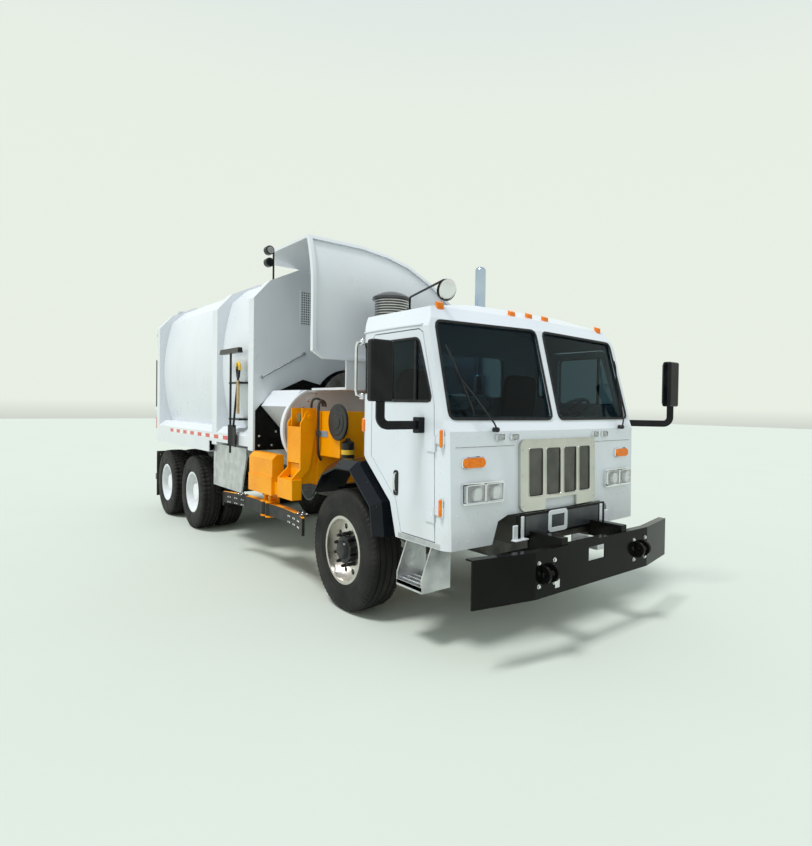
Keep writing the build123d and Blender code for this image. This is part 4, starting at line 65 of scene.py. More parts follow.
floor_material = bpy.data.materials.new("pale_floor")
floor_material.use_nodes = True
floor_shader = floor_material.node_tree.nodes["Principled BSDF"]
floor_shader.inputs["Roughness"].default_value = 0.85
floor_shader.inputs["Specular IOR Level"].default_value = 0.1
floor_place = add_node(floor_material.node_tree, "ShaderNodeTexCoord")
floor_grain = add_node(floor_material.node_tree, "ShaderNodeTexNoise", Scale=0.6, Detail=3.0)
floor_tint = add_node(floor_material.node_tree, "ShaderNodeMix", data_type="RGBA")
floor_tint.inputs["A"].default_value = (0.555, 0.600, 0.535, 1)
floor_tint.inputs["B"].default_value = (0.575, 0.615, 0.555, 1)
floor_material.node_tree.links.new(floor_place.outputs["Object"], floor_grain.inputs["Vector"])
floor_material.node_tree.links.new(floor_grain.outputs["Fac"], floor_tint.inputs["Factor"])
floor_material.node_tree.links.new(floor_tint.outputs["Result"], floor_shader.inputs["Base Color"])
floor_half = 60.0
floor_mesh = bpy.data.meshes.new("floor")
floor_mesh.from_pydata(
    [(-floor_half, -floor_half, -0.001), (floor_half, -floor_half, -0.001),
     (floor_half, floor_half, -0.001), (-floor_half, floor_half, -0.001)], [], [(0, 1, 2, 3)])
floor_mesh.materials.append(floor_material)
floor = bpy.data.objects.new("floor", floor_mesh)
bpy.context.scene.collection.objects.link(floor)

sky = bpy.data.worlds.new("pale_sky")
sky.use_nodes = True
sky_shader = sky.node_tree.nodes["Background"]
sky_place = add_node(sky.node_tree, "ShaderNodeTexCoord")
sky_split = add_node(sky.node_tree, "ShaderNodeSeparateXYZ")
sky_ramp = add_node(sky.node_tree, "ShaderNodeValToRGB")
sky_ramp.color_ramp.elements[0].position = 0.47
sky_ramp.color_ramp.elements[0].color = (0.40, 0.42, 0.40, 1)
sky_ramp.color_ramp.elements[1].position = 0.50
sky_ramp.color_ramp.elements[1].color = (0.81, 0.86, 0.77, 1)
middle_sky = sky_ramp.color_ramp.elements.new(0.72)
middle_sky.color = (0.80, 0.86, 0.78, 1)
high_sky = sky_ramp.color_ramp.elements.new(0.90)
high_sky.color = (0.66, 0.72, 0.80, 1)
sky_height = add_node(sky.node_tree, "ShaderNodeMapRange")
sky_height.inputs["From Min"].default_value = -1.0
sky.node_tree.links.new(sky_place.outputs["Generated"], sky_split.inputs["Vector"])
sky.node_tree.links.new(sky_split.outputs["Z"], sky_height.inputs["Value"])
sky.node_tree.links.new(sky_height.outputs["Result"], sky_ramp.inputs["Fac"])
sky.node_tree.links.new(sky_ramp.outputs["Color"], sky_shader.inputs["Color"])
sky_shader.inputs["Strength"].default_value = 1.0
bpy.context.scene.world = sky
bpy.context.scene.view_settings.view_transform = "Standard"

sun_data = bpy.data.lights.new("soft_sun", "SUN")
sun_data.energy = 2.3
sun_data.angle = math.radians(14)
sun = bpy.data.objects.new("soft_sun", sun_data)
sun.rotation_euler = Vector((-0.02, 0.46, -1.0)).to_track_quat("-Z", "Y").to_euler()
bpy.context.scene.collection.objects.link(sun)

camera_yaw = math.radians(138.576)
camera_pitch = math.radians(-1.064)
camera_roll = math.radians(0.877)
looks = Vector((math.cos(camera_yaw) * math.cos(camera_pitch), math.sin(camera_yaw) * math.cos(camera_pitch),
                math.sin(camera_pitch)))
level_right = looks.cross(Vector((0, 0, 1))).normalized()
level_up = level_right.cross(looks)
camera_right = math.cos(camera_roll) * level_right + math.sin(camera_roll) * level_up
camera_up = math.cos(camera_roll) * level_up - math.sin(camera_roll) * level_right
camera_data = bpy.data.cameras.new("photo_camera")
camera_data.sensor_width = 36.0
camera_data.lens = 24.912
camera_data.shift_x = -0.0719
camera_data.shift_y = -0.0080
camera_data.clip_end = 300.0
camera = bpy.data.objects.new("photo_camera", camera_data)
camera.matrix_world = Matrix(((camera_right[0], camera_up[0], -looks[0], 4.605 + AXLE_X),
                              (camera_right[1], camera_up[1], -looks[1], -3.822),
                              (camera_right[2], camera_up[2], -looks[2], 1.842),
                              (0, 0, 0, 1)))
bpy.context.scene.collection.objects.link(camera)
bpy.context.scene.camera = camera

# Chassis: rolled steel rails, springs and axles in black chassis paint, grey with road dust.
# The castings on it, the engine, axle bowls and knuckles, are rough grey iron.


def new_finish(name, colour, roughness, metallic=0.0, coat=0.0):
    """A material with its node tree and its one shader."""
    material = bpy.data.materials.new(name)
    material.use_nodes = True
    shader = material.node_tree.nodes["Principled BSDF"]
    shader.inputs["Base Color"].default_value = (*colour, 1)
    shader.inputs["Roughness"].default_value = roughness
    shader.inputs["Metallic"].default_value = metallic
    shader.inputs["Coat Weight"].default_value = coat
    shader.inputs["Coat Roughness"].default_value = 0.06
    return material, material.node_tree, shader


def spread_colour(tree, shader, colour_a, colour_b, scale, detail=4.0, low=0.35, high=0.65):
    """Base colour that wanders between two tones with noise on the object's own coordinates."""
    place = add_node(tree, "ShaderNodeTexCoord")
    noise = add_node(tree, "ShaderNodeTexNoise", Scale=scale, Detail=detail)
    sort = add_node(tree, "ShaderNodeMapRange")
    sort.inputs["From Min"].default_value = low
    sort.inputs["From Max"].default_value = high
    mix = add_node(tree, "ShaderNodeMix", data_type="RGBA")
    mix.inputs["A"].default_value = (*colour_a, 1)
    mix.inputs["B"].default_value = (*colour_b, 1)
    tree.links.new(place.outputs["Object"], noise.inputs["Vector"])
    tree.links.new(noise.outputs["Fac"], sort.inputs["Value"])
    tree.links.new(sort.outputs["Result"], mix.inputs["Factor"])
    tree.links.new(mix.outputs["Result"], shader.inputs["Base Color"])
    return place, mix


def spread_roughness(tree, shader, place, scale, low, high):
    """Roughness that varies between two values with finer noise."""
    noise = add_node(tree, "ShaderNodeTexNoise", Scale=scale, Detail=5.0)
    sort = add_node(tree, "ShaderNodeMapRange")
    sort.inputs["From Min"].default_value = 0.3
    sort.inputs["From Max"].default_value = 0.7
    sort.inputs["To Min"].default_value = low
    sort.inputs["To Max"].default_value = high
    tree.links.new(place.outputs["Object"], noise.inputs["Vector"])
    tree.links.new(noise.outputs["Fac"], sort.inputs["Value"])
    tree.links.new(sort.outputs["Result"], shader.inputs["Roughness"])


def fine_bump(tree, shader, place, scale, strength, distance=0.001):
    """Bump from fine noise, such as orange peel, casting skin or rubber grain."""
    noise = add_node(tree, "ShaderNodeTexNoise", Scale=scale, Detail=2.0)
    bump = add_node(tree, "ShaderNodeBump", Strength=strength, Distance=distance)
    tree.links.new(place.outputs["Object"], noise.inputs["Vector"])
    tree.links.new(noise.outputs["Fac"], bump.inputs["Height"])
    tree.links.new(bump.outputs["Normal"], shader.inputs["Normal"])
    return bump


def mottled(name, colour, roughness, tones, scale, metallic=0.0, coat=0.0, specular=0.5, shine=None,
            grain=None):
    """A material whose base colour wanders between two tones. Shine holds the noise's scale and the low and
    high of the roughness, and grain the noise's scale and the strength of the bump."""
    material, tree, shader = new_finish(name, colour, roughness, metallic, coat)
    shader.inputs["Specular IOR Level"].default_value = specular
    place, _ = spread_colour(tree, shader, *tones, scale)
    if shine:
        spread_roughness(tree, shader, place, *shine)
    if grain:
        fine_bump(tree, shader, place, *grain)
    return material


def road_film(tree, shader, place, mix, film_colour, top, bottom):
    """A film of dust over the base colour that grows from the height top down to bottom, broken by noise."""
    split = add_node(tree, "ShaderNodeSeparateXYZ")
    fade = add_node(tree, "ShaderNodeMapRange")
    fade.inputs["From Min"].default_value = top
    fade.inputs["From Max"].default_value = bottom
    noise = add_node(tree, "ShaderNodeTexNoise", Scale=7.0, Detail=8.0, Roughness=0.65)
    spots = add_node(tree, "ShaderNodeMath", operation="MULTIPLY")
    film = add_node(tree, "ShaderNodeMix", data_type="RGBA")
    film.inputs["B"].default_value = (*film_colour, 1)
    tree.links.new(place.outputs["Object"], split.inputs["Vector"])
    tree.links.new(split.outputs["Z"], fade.inputs["Value"])
    tree.links.new(place.outputs["Object"], noise.inputs["Vector"])
    tree.links.new(fade.outputs["Result"], spots.inputs[0])
    tree.links.new(noise.outputs["Fac"], spots.inputs[1])
    tree.links.new(spots.outputs[0], film.inputs["Factor"])
    tree.links.new(mix.outputs["Result"], film.inputs["A"])
    tree.links.new(film.outputs["Result"], shader.inputs["Base Color"])
    return film


def dress(material, *names):
    """Each CAD node of these names shows this material."""
    for name in names:
        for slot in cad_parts[name].material_slots:
            slot.material = material


chassis_paint, tree, shader = new_finish("black_chassis_paint", (0.02, 0.02, 0.022), 0.55)
place, mix = spread_colour(tree, shader, (0.016, 0.016, 0.018), (0.04, 0.038, 0.035), 6.0)
spread_roughness(tree, shader, place, 8.0, 0.42, 0.7)
fine_bump(tree, shader, place, 90.0, 0.15)
road_film(tree, shader, place, mix, (0.16, 0.14, 0.12), 1.4, 0.0)
dress(chassis_paint, "frame_rails", "front_axle", "leaf_springs", "rear_bumper", "tailgate_barrels",
      "lifter_base")

cast_iron = mottled("grey_castings", (0.09, 0.09, 0.09), 0.6, ((0.06, 0.06, 0.06), (0.13, 0.12, 0.11)), 9.0,
                    metallic=0.3, grain=(70.0, 0.3))
dress(cast_iron, "engine_block", "rear_axles", "knuckle_left", "knuckle_right")

# Tyres: radial road tyres. The steered ones have five smooth ribs with small cuts at the
# shoulder, the driven ones have cross-cut blocks, and all have a smooth wall without lettering.


def grid_quads(rows, columns, ring_rows=False, ring_columns=False):
    """The four corners of each cell in a grid of points stored row by row. A ring joins last to first."""
    row, column = np.meshgrid(np.arange(rows if ring_rows else rows - 1),
                              np.arange(columns if ring_columns else columns - 1), indexing="ij")
    next_row = (row + 1) % rows
    next_column = (column + 1) % columns
    corners = (row * columns + column, row * columns + next_column,
               next_row * columns + next_column, next_row * columns + column)
    return np.stack(corners, axis=-1).reshape(-1, 4)


def box_of(node):
    """The low and the high corner of a CAD node."""
    return [np.array(corner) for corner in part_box(node)]


def make_piece(name, forms, material, body, smooth=35.0):
    """One object from forms of (points, quads, caps). Doubles are merged, faces are turned outwards, and
    edges sharper than the angle stay sharp."""
    points = np.concatenate([form[0] for form in forms])
    starts = np.cumsum([0] + [len(form[0]) for form in forms[:-1]])
    faces = []
    for (_, quads, caps), start in zip(forms, starts):
        faces.extend((quads + start).tolist())
        faces.extend((cap + start).tolist() for cap in caps)
    mesh = bpy.data.meshes.new(name)
    mesh.from_pydata(points.tolist(), [], faces)
    edit = bmesh.new()
    edit.from_mesh(mesh)
    bmesh.ops.remove_doubles(edit, verts=edit.verts, dist=0.00001)
    bmesh.ops.dissolve_degenerate(edit, edges=edit.edges, dist=0.000001)
    bmesh.ops.recalc_face_normals(edit, faces=edit.faces)
    edit.to_mesh(mesh)
    edit.free()
    mesh.polygons.foreach_set("use_smooth", np.ones(len(mesh.polygons), dtype=bool))
    mesh.set_sharp_from_angle(angle=math.radians(smooth))
    mesh.materials.append(material)
    piece = bpy.data.objects.new(name, mesh)
    bpy.context.scene.collection.objects.link(piece)
    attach(piece, body)
    return piece


def tyre_section(width, outer, bead, grooves, groove_depth):
    """(across, radius) points round a tyre's section: a crowned tread with square grooves, walls that
    bulge as a power of a sine from shoulder to bead, and a flat floor inside."""
    across = np.linspace(-0.41, 0.41, 67) * width
    crown = outer - 0.007 * (across / (0.41 * width)) ** 2
    near = np.abs(across[:, None] / width - np.array(grooves)).min(axis=1)
    tread = crown - groove_depth * (near < 0.017)
    turn = np.linspace(0.05, 1.0, 22) * np.pi
    rings = 0.003 * (np.abs(turn - 2.1) < 0.16) + 0.002 * (np.abs(turn - 1.0) < 0.08)
    wall_across = width * (0.41 + 0.09 * np.abs(np.sin(turn)) ** 0.75) + rings
    wall_radius = bead + (outer - 0.009 - bead) * (1 + np.cos(turn)) / 2
    floor_across = np.array([0.37, -0.37]) * width
    floor_radius = np.array([bead + 0.014, bead + 0.014])
    return np.concatenate([np.stack([across, tread], 1), np.stack([wall_across, wall_radius], 1),
                           np.stack([floor_across, floor_radius], 1),
                           np.stack([-wall_across, wall_radius], 1)[::-1]])


def tyre_form(centre, section, width, outer, cuts, cut_from, cut_depth):
    """The section turned about Y. Within each cut's half pitch the radius drops by the cut's depth from
    cut_from of the width outwards."""
    steps = cuts * 4
    angle = np.arange(steps) * 2 * np.pi / steps
    cut = (np.arange(steps) % 4) < 2
    share = np.clip((np.abs(section[:, 0]) / width - cut_from) / 0.02, 0, 1)
    share = share * (section[:, 1] > outer - 0.045)
    radius = section[:, 1] - cut_depth * cut[:, None] * share
    points = np.stack([radius * np.cos(angle)[:, None], np.broadcast_to(section[:, 0], radius.shape),
                       radius * np.sin(angle)[:, None]], axis=-1)
    return points.reshape(-1, 3) + centre, grid_quads(steps, len(section), True, True), []


tyre_rubber = mottled("tyre_rubber", (0.02, 0.02, 0.02), 0.6,
                      ((0.010, 0.010, 0.010), (0.024, 0.022, 0.020)), 6.0, specular=0.2,
                      shine=(12.0, 0.48, 0.75), grain=(220.0, 0.2))
for side in ("left", "right"):
    node = f"tyre_front_{side}"
    low, high = box_of(node)
    middle = (low + high) / 2
    width = high[1] - low[1]
    outer = (high[2] - low[2]) / 2
    section = tyre_section(width, outer, 0.294, (-0.27, -0.10, 0.10, 0.27), 0.011)
    ribbed = tyre_form(middle, section, width, outer, 72, 0.385, 0.007)
    tyre = make_piece(f"front_tyre_{side}", [ribbed], tyre_rubber, f"wheel_front_{side}")
    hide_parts(node)
    for axle in (1, 2):
        node = f"tyres_rear_{axle}_{side}"
        low, high = box_of(node)
        middle = (low + high) / 2
        outer = (high[2] - low[2]) / 2
        width = 0.272
        apart = (high[1] - low[1] - width) / 2
        section = tyre_section(width, outer, 0.288, (-0.30, -0.10, 0.10, 0.30), 0.013)
        twins = [tyre_form(middle + np.array([0, apart * way, 0]), section, width, outer, 52, 0.12, 0.012)
                 for way in (-1, 1)]
        tyre = make_piece(f"rear_tyres_{axle}_{side}", twins, tyre_rubber, f"wheels_rear_{axle}_{side}")
        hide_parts(node)

# Wheels: forged and polished alloy rims in front with long black nut covers, white steel
# rims behind. Each is held by ten nuts round its hub.
alloy = mottled("forged_alloy", (0.66, 0.63, 0.59), 0.3, ((0.60, 0.57, 0.53), (0.70, 0.67, 0.63)), 4.0,
                metallic=1.0, shine=(8.0, 0.24, 0.36))
dress(alloy, "rim_front_left", "rim_front_right")
white_rim = mottled("white_rim", (0.82, 0.84, 0.87), 0.35, ((0.78, 0.80, 0.82), (0.86, 0.88, 0.90)), 9.0,
                    coat=0.2)
dress(white_rim, "rims_rear_1_left", "rims_rear_1_right", "rims_rear_2_left", "rims_rear_2_right")
black_plastic = mottled("black_plastic", (0.012, 0.012, 0.013), 0.3,
                        ((0.01, 0.01, 0.011), (0.022, 0.022, 0.022)), 8.0, specular=0.3,
                        grain=(160.0, 0.06))
bright_steel = mottled("bright_steel", (0.74, 0.74, 0.74), 0.2, ((0.64, 0.64, 0.64), (0.80, 0.80, 0.80)),
                       12.0, metallic=1.0, shine=(30.0, 0.12, 0.3))


def closed_sheet(front, back_x):
    """A grid of points that faces along X, closed by a copy of it pressed flat at the back's x."""
    back = front.copy()
    back[..., 0] = back_x
    rows = np.concatenate([front, back[::-1]], axis=0)
    count = front.shape[1]
    first = np.arange(len(rows)) * count
    return rows.reshape(-1, 3), grid_quads(len(rows), count, True, False), [first, (first + count - 1)[::-1]]


def turned(profile, centre, axis="y", steps=32):
    """A profile of (along, radius) points turned about an axis through the centre: each point goes to
    centre + along on the axis + radius times (cosine, sine) across it."""
    along, radius = np.asarray(profile, float).T
    angle = np.arange(steps) * 2 * np.pi / steps
    across = np.cos(angle)[:, None] * radius
    upright = np.sin(angle)[:, None] * radius
    level = np.broadcast_to(along, across.shape)
    order = {"x": (level, across, upright), "y": (upright, level, across),
             "z": (across, upright, level)}[axis]
    points = np.stack(order, axis=-1).reshape(-1, 3) + np.asarray(centre, float)
    first = np.arange(steps) * len(along)
    caps = [ends for ends, end in ((first[::-1], 0), (first + len(along) - 1, -1)) if radius[end] > 0]
    return points, grid_quads(steps, len(along), True), caps


def repeat(form, places):
    """The same form set at each of several places."""
    points, quads, caps = form
    places = np.asarray(places, float)
    shift = np.arange(len(places)) * len(points)
    all_points = (points[None] + places[:, None]).reshape(-1, 3)
    all_quads = (quads[None] + shift[:, None, None]).reshape(-1, 4)
    return all_points, all_quads, [cap + step for step in shift for cap in caps]


def laid_on(node, points, heading):
    """Each point moved along the heading to where it meets the node's surface. It stays if it misses."""
    skin = BVHTree.FromObject(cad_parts[node], bpy.context.evaluated_depsgraph_get())
    hits = [skin.ray_cast(Vector(point),
                          Vector(heading))[0] or point for point in np.asarray(points).tolist()]
    return np.array([tuple(hit) for hit in hits])


def ring_places(centre, radius, count, turn=0.0):
    """Points round a circle in the plane across Y."""
    angle = np.arange(count) * 2 * np.pi / count + turn
    ring = np.stack([np.cos(angle) * radius, np.zeros(count), np.sin(angle) * radius], axis=1)
    return ring + np.asarray(centre, float)


nut_circle = 0.143
nut_cover = np.array([(-0.004, 0.0), (-0.004, 0.021), (0.006, 0.021), (0.010, 0.017), (0.072, 0.015),
                      (0.082, 0.010), (0.085, 0.0)])
short_nut = np.array([(-0.004, 0.0), (-0.004, 0.022), (0.004, 0.022), (0.005, 0.017), (0.022, 0.016),
                      (0.026, 0.010), (0.026, 0.0)])
hub_cover = np.array([(-0.058, 0.0), (-0.058, 0.1205), (0.001, 0.1205), (0.006, 0.112), (0.008, 0.084),
                      (0.026, 0.078),
                      (0.036, 0.066), (0.039, 0.030), (0.040, 0.0)])
for way, side in ((-1, "right"), (1, "left")):
    low, high = box_of(f"rim_front_{side}")
    middle = (low + high) / 2
    far = middle * (1, 0, 1) + np.array([0, way * 1.6, 0])
    seats = laid_on(f"rim_front_{side}", ring_places(far, nut_circle, 10, 0.3), (0, -way, 0))
    covers = turned(nut_cover * (way, 1), (0, 0, 0), "y", 12)
    make_piece(f"nut_covers_{side}", [repeat(covers, seats)], black_plastic, f"wheel_front_{side}")
    face = laid_on(f"rim_front_{side}", [far + (0.02, 0, 0)], (0, -way, 0))[0]
    hub = turned(hub_cover * (way, 1), (middle[0], face[1], middle[2]), "y", 48)
    make_piece(f"hub_cover_{side}", [hub], black_plastic, f"wheel_front_{side}")
    for axle in (1, 2):
        node = f"rims_rear_{axle}_{side}"
        low, high = box_of(node)
        middle = (low + high) / 2
        far = middle * (1, 0, 1) + np.array([0, way * 1.6, 0])
        seats = laid_on(node, ring_places(far, nut_circle, 10, 0.3), (0, -way, 0))
        nuts = turned(short_nut * (way, 1), (0, 0, 0), "y", 6)
        make_piece(f"rear_nuts_{axle}_{side}", [repeat(nuts, seats)], bright_steel,
                   f"wheels_rear_{axle}_{side}",
                   smooth=25.0)

# Cab shell: pressed and riveted aluminium panels, sprayed white and clear-coated. The paint
# has a faint orange peel, and road film gathers low on it. Rows of rivets, a belt seam and a
# rain gutter over each door stand a few millimetres proud.
white_paint, tree, shader = new_finish("white_cab_paint", (0.68, 0.72, 0.78), 0.22, coat=0.3)
place, mix = spread_colour(tree, shader, (0.66, 0.70, 0.76), (0.70, 0.74, 0.80), 1.2)
spread_roughness(tree, shader, place, 3.0, 0.16, 0.28)
fine_bump(tree, shader, place, 260.0, 0.04)
road_film(tree, shader, place, mix, (0.46, 0.43, 0.38), 1.2, 0.3)
dress(white_paint, "cab_shell", "door_left", "door_right")
# The belt seam's grey is painted shade of the narrow groove along the seam.
seam_painted_shade = mottled("seam_groove_painted_shade", (0.30, 0.31, 0.32), 0.6, ((0.26, 0.27, 0.28), (0.40, 0.41, 0.42)), 20.0)


def spaced(points, step, ring=True):
    """The same line with its points an even step apart along its length."""
    line = np.vstack([points, points[:1]]) if ring else np.asarray(points, float)
    length = np.concatenate([[0], np.cumsum(np.linalg.norm(np.diff(line, axis=0), axis=1))])
    count = max(int(round(length[-1] / step)), 2)
    at = np.linspace(0, length[-1], count + 1)
    at = at[:-1] if ring else at
    return np.stack([np.interp(at, length, line[:, axis]) for axis in range(line.shape[1])], axis=1)


def rounded(corners, radius, steps=7):
    """An outline with round corners: each corner becomes a quadratic curve that leaves both its sides at
    the radius from it."""
    corners = np.asarray(corners, float)
    back = np.roll(corners, 1, axis=0) - corners
    onward = np.roll(corners, -1, axis=0) - corners
    start = corners + radius * back / np.linalg.norm(back, axis=1, keepdims=True)
    end = corners + radius * onward / np.linalg.norm(onward, axis=1, keepdims=True)
    share = np.linspace(0, 1, steps)[None, :, None]
    curve = ((1 - share) ** 2 * start[:, None] + 2 * share * (1 - share) * corners[:, None]
             + share ** 2 * end[:, None])
    return curve.reshape(-1, corners.shape[1])


def carried(path, profile, up=(0, 0, 1), ring=False, scale=None):
    """A profile of (side, rise) points carried along a path: point = path + side x s + rise x u, where side
    is the run crossed with up, rise is side crossed with the run, and both are drawn in by the scale."""
    path = np.asarray(path, float)
    profile = np.asarray(profile, float)
    run = np.roll(path, -1, axis=0) - np.roll(path, 1, axis=0) if ring else np.gradient(path, axis=0)
    run = run / np.linalg.norm(run, axis=1, keepdims=True)
    side = np.cross(run, np.broadcast_to(up, run.shape))
    side = side / np.linalg.norm(side, axis=1, keepdims=True)
    rise = np.cross(side, run)
    size = np.ones(len(path)) if scale is None else np.asarray(scale, float)
    across = size[:, None] * profile[:, 0]
    upright = size[:, None] * profile[:, 1]
    points = path[:, None] + side[:, None] * across[..., None] + rise[:, None] * upright[..., None]
    first = np.arange(len(profile))
    caps = [] if ring else [first[::-1], first + (len(path) - 1) * len(profile)]
    return points.reshape(-1, 3), grid_quads(len(path), len(profile), ring, True), caps


def round_profile(radius, count=10):
    """Points of a circle round the path."""
    angle = np.arange(count) * 2 * np.pi / count
    return np.stack([np.cos(angle), np.sin(angle)], axis=1) * radius


def flat_profile(width, height, edge):
    """A band that stands on the path, its width across and its height up, with cut corners."""
    half = width / 2
    return np.array([(-half, 0), (half, 0), (half, height - edge), (half - edge, height),
                     (-half + edge, height), (-half, height - edge)])


def block(low, high, edge):
    """A block with cut edges: an eight-cornered section carried along X and drawn in at both ends."""
    low, high = np.asarray(low, float), np.asarray(high, float)
    middle, half = (low + high) / 2, (high - low) / 2
    y, z = half[1], half[2]
    y_in, z_in = y - edge, z - edge
    section = np.array([(y, -z_in), (y, z_in), (y_in, z), (-y_in, z), (-y, z_in), (-y, -z_in), (-y_in, -z),
                        (y_in, -z)])
    drawn = section - np.sign(section) * edge * (np.abs(section) > (y_in + 1e-9, z_in + 1e-9))
    along = np.array([-half[0], -half[0] + edge, half[0] - edge, half[0]])
    rows = np.stack([drawn, section, section, drawn])
    points = np.concatenate([np.broadcast_to(along[:, None, None], (4, 8, 1)), rows], axis=2).reshape(-1, 3)
    first = np.arange(8)
    return points + middle, grid_quads(4, 8, False, True), [first[::-1], first + 24]


def dome_row(places, heading, radius, rise, steps=8):
    """Round rivet heads: at each place a low dome that points against the heading."""
    turn = np.linspace(0, 1, 4) * np.pi / 2
    profile = np.stack([np.sin(turn) * rise, np.cos(turn) * radius], axis=1)
    axis = "xyz"[int(np.argmax(np.abs(heading)))]
    way = -np.sign(np.asarray(heading)[np.argmax(np.abs(heading))])
    profile = np.vstack([[(-rise / 2, radius)], profile]) * (way, 1)
    return repeat(turned(profile, (0, 0, 0), axis, steps), places)


front_far = AXLE_X + 2.2
rivets = []
for low_z, spots in ((1.615, np.r_[-1.09:-0.80:4j, 0.80:1.09:4j]),
                     (1.040, np.r_[-1.08:-0.70:5j, 0.70:1.08:5j]),
                     (0.850, np.r_[-1.08:-0.70:5j, 0.70:1.08:5j])):
    starts = np.stack([np.full(len(spots), front_far), spots, np.full(len(spots), low_z)], axis=1)
    landed = laid_on("cab_shell", starts, (-1, 0, 0))
    landed = landed[landed[:, 0] < front_far - 0.1]
    rivets.append(dome_row(landed, (-1, 0, 0), 0.006, 0.003))
for way in (-1, 1):
    spots = np.r_[0.95:1.60:9j]
    for ahead_x in (1.318, 0.205):
        starts = np.stack([np.full(9, AXLE_X + ahead_x), np.full(9, way * 1.6), spots], axis=1)
        landed = laid_on("cab_shell", starts, (0, -way, 0))
        landed = landed[np.abs(landed[:, 1]) < 1.3]
        rivets.append(dome_row(landed, (0, -way, 0), 0.006, 0.003))
make_piece("cab_rivets", rivets, white_paint, "chassis", smooth=60.0)

# A raised band along the belt line, grey as painted shade of the seam's groove.
belt_z = 1.535
belt = []
for low_y, high_y in ((-1.10, -0.52), (0.52, 1.10)):
    starts = np.array([(front_far, y, belt_z) for y in np.linspace(low_y, high_y, 24)])
    line = laid_on("cab_shell", starts, (-1, 0, 0)) + (-0.001, 0, 0)
    belt.append(carried(line, flat_profile(0.006, 0.003, 0.001), up=(1, 0, 0)))
make_piece("cab_belt_seam", belt, seam_painted_shade, "chassis")

gutters = []
for way in (-1, 1):
    gutter_x = np.linspace(0.22, 1.08, 30)
    starts = np.array([(AXLE_X + x, way * 1.6, 2.452 - 0.03 * (x - 0.65) ** 2) for x in gutter_x])
    line = laid_on("cab_shell", starts, (0, -way, 0)) - (0, way * 0.002, 0)
    gutters.append(carried(line, flat_profile(0.016, 0.016, 0.004), up=(0, way, 0)))
make_piece("rain_gutters", gutters, white_paint, "chassis")

# Windows: flat laminated and tempered panes with a dark grey-green tint, held in black rubber
# gaskets that are pressed round the edge of each opening.
tinted_glass, tree, shader = new_finish("tinted_glass", (0.16, 0.23, 0.26), 0.02)
shader.inputs["Transmission Weight"].default_value = 1.0
shader.inputs["IOR"].default_value = 1.18
dress(tinted_glass, "cab_glass", "door_glass_left", "door_glass_right")
gasket_rubber = mottled("gasket_rubber", (0.012, 0.012, 0.013), 0.5,
                        ((0.010, 0.010, 0.011), (0.024, 0.024, 0.024)), 20.0, specular=0.2,
                        grain=(300.0, 0.1))

gasket = flat_profile(0.022, 0.010, 0.003) - (0, 0.003)
windscreen_gaskets = []
for way in (-1, 1):
    corners = np.array([(0.045, 1.739), (1.116, 1.742), (1.102, 2.476), (0.045, 2.491)]) * (way, 1)
    outline = spaced(rounded(corners, 0.052), 0.03)
    starts = np.column_stack([np.full(len(outline), front_far), outline])
    spread_out = (outline - outline.mean(axis=0)) * 0.022 + outline
    probes = np.column_stack([np.full(len(outline), front_far), spread_out])
    line = laid_on("cab_shell", probes, (-1, 0, 0))
    line[:, 1:] = outline
    windscreen_gaskets.append(carried(line, gasket, up=(1, 0, 0.28), ring=True))
make_piece("windscreen_gaskets", windscreen_gaskets, gasket_rubber, "chassis")

for way, side in ((-1, "right"), (1, "left")):
    corners = np.array([(1.210, 1.869), (1.040, 2.347), (0.476, 2.347), (0.476, 1.869)])
    outline = spaced(rounded(corners, 0.05), 0.03)
    line = np.column_stack([AXLE_X + outline[:, 0], np.full(len(outline), way * 1.168), outline[:, 1]])
    probes = line + (line - line.mean(axis=0)) * (0.04, 0, 0.04) + (0, way * 0.4, 0)
    landed = laid_on(f"door_{side}", probes, (0, -way, 0))
    line[:, 1] = np.where(np.abs(landed[:, 1]) < 1.19, landed[:, 1], way * 1.160)
    door_gasket = carried(line, flat_profile(0.020, 0.008, 0.003) - (0, 0.003), up=(0, way, 0), ring=True)
    bar_x = AXLE_X + 0.985
    vent_bar = block((bar_x - 0.014, min(way * 1.146, way * 1.166), 1.875),
                     (bar_x + 0.014, max(way * 1.146, way * 1.166), 2.340), 0.004)
    make_piece(f"door_gasket_{side}", [door_gasket, vent_bar], gasket_rubber, f"door_{side}")
    corners = np.array([(0.339, 1.940), (0.339, 2.350), (0.209, 2.350), (0.209, 1.940)])
    outline = spaced(rounded(corners, 0.045), 0.02)
    line = np.column_stack([AXLE_X + outline[:, 0], np.full(len(outline), way * 1.6), outline[:, 1]])
    probes = line + (line - line.mean(axis=0)) * (0.12, 0, 0.06)
    landed = laid_on("cab_shell", probes, (0, -way, 0))
    line[:, 1] = np.where(np.abs(landed[:, 1]) < 1.3, landed[:, 1], way * 1.16)
    corner_gasket = carried(line, flat_profile(0.024, 0.009, 0.003) - (0, 0.003), up=(0, way, 0), ring=True)
    make_piece(f"corner_gasket_{side}", [corner_gasket], gasket_rubber, "chassis")

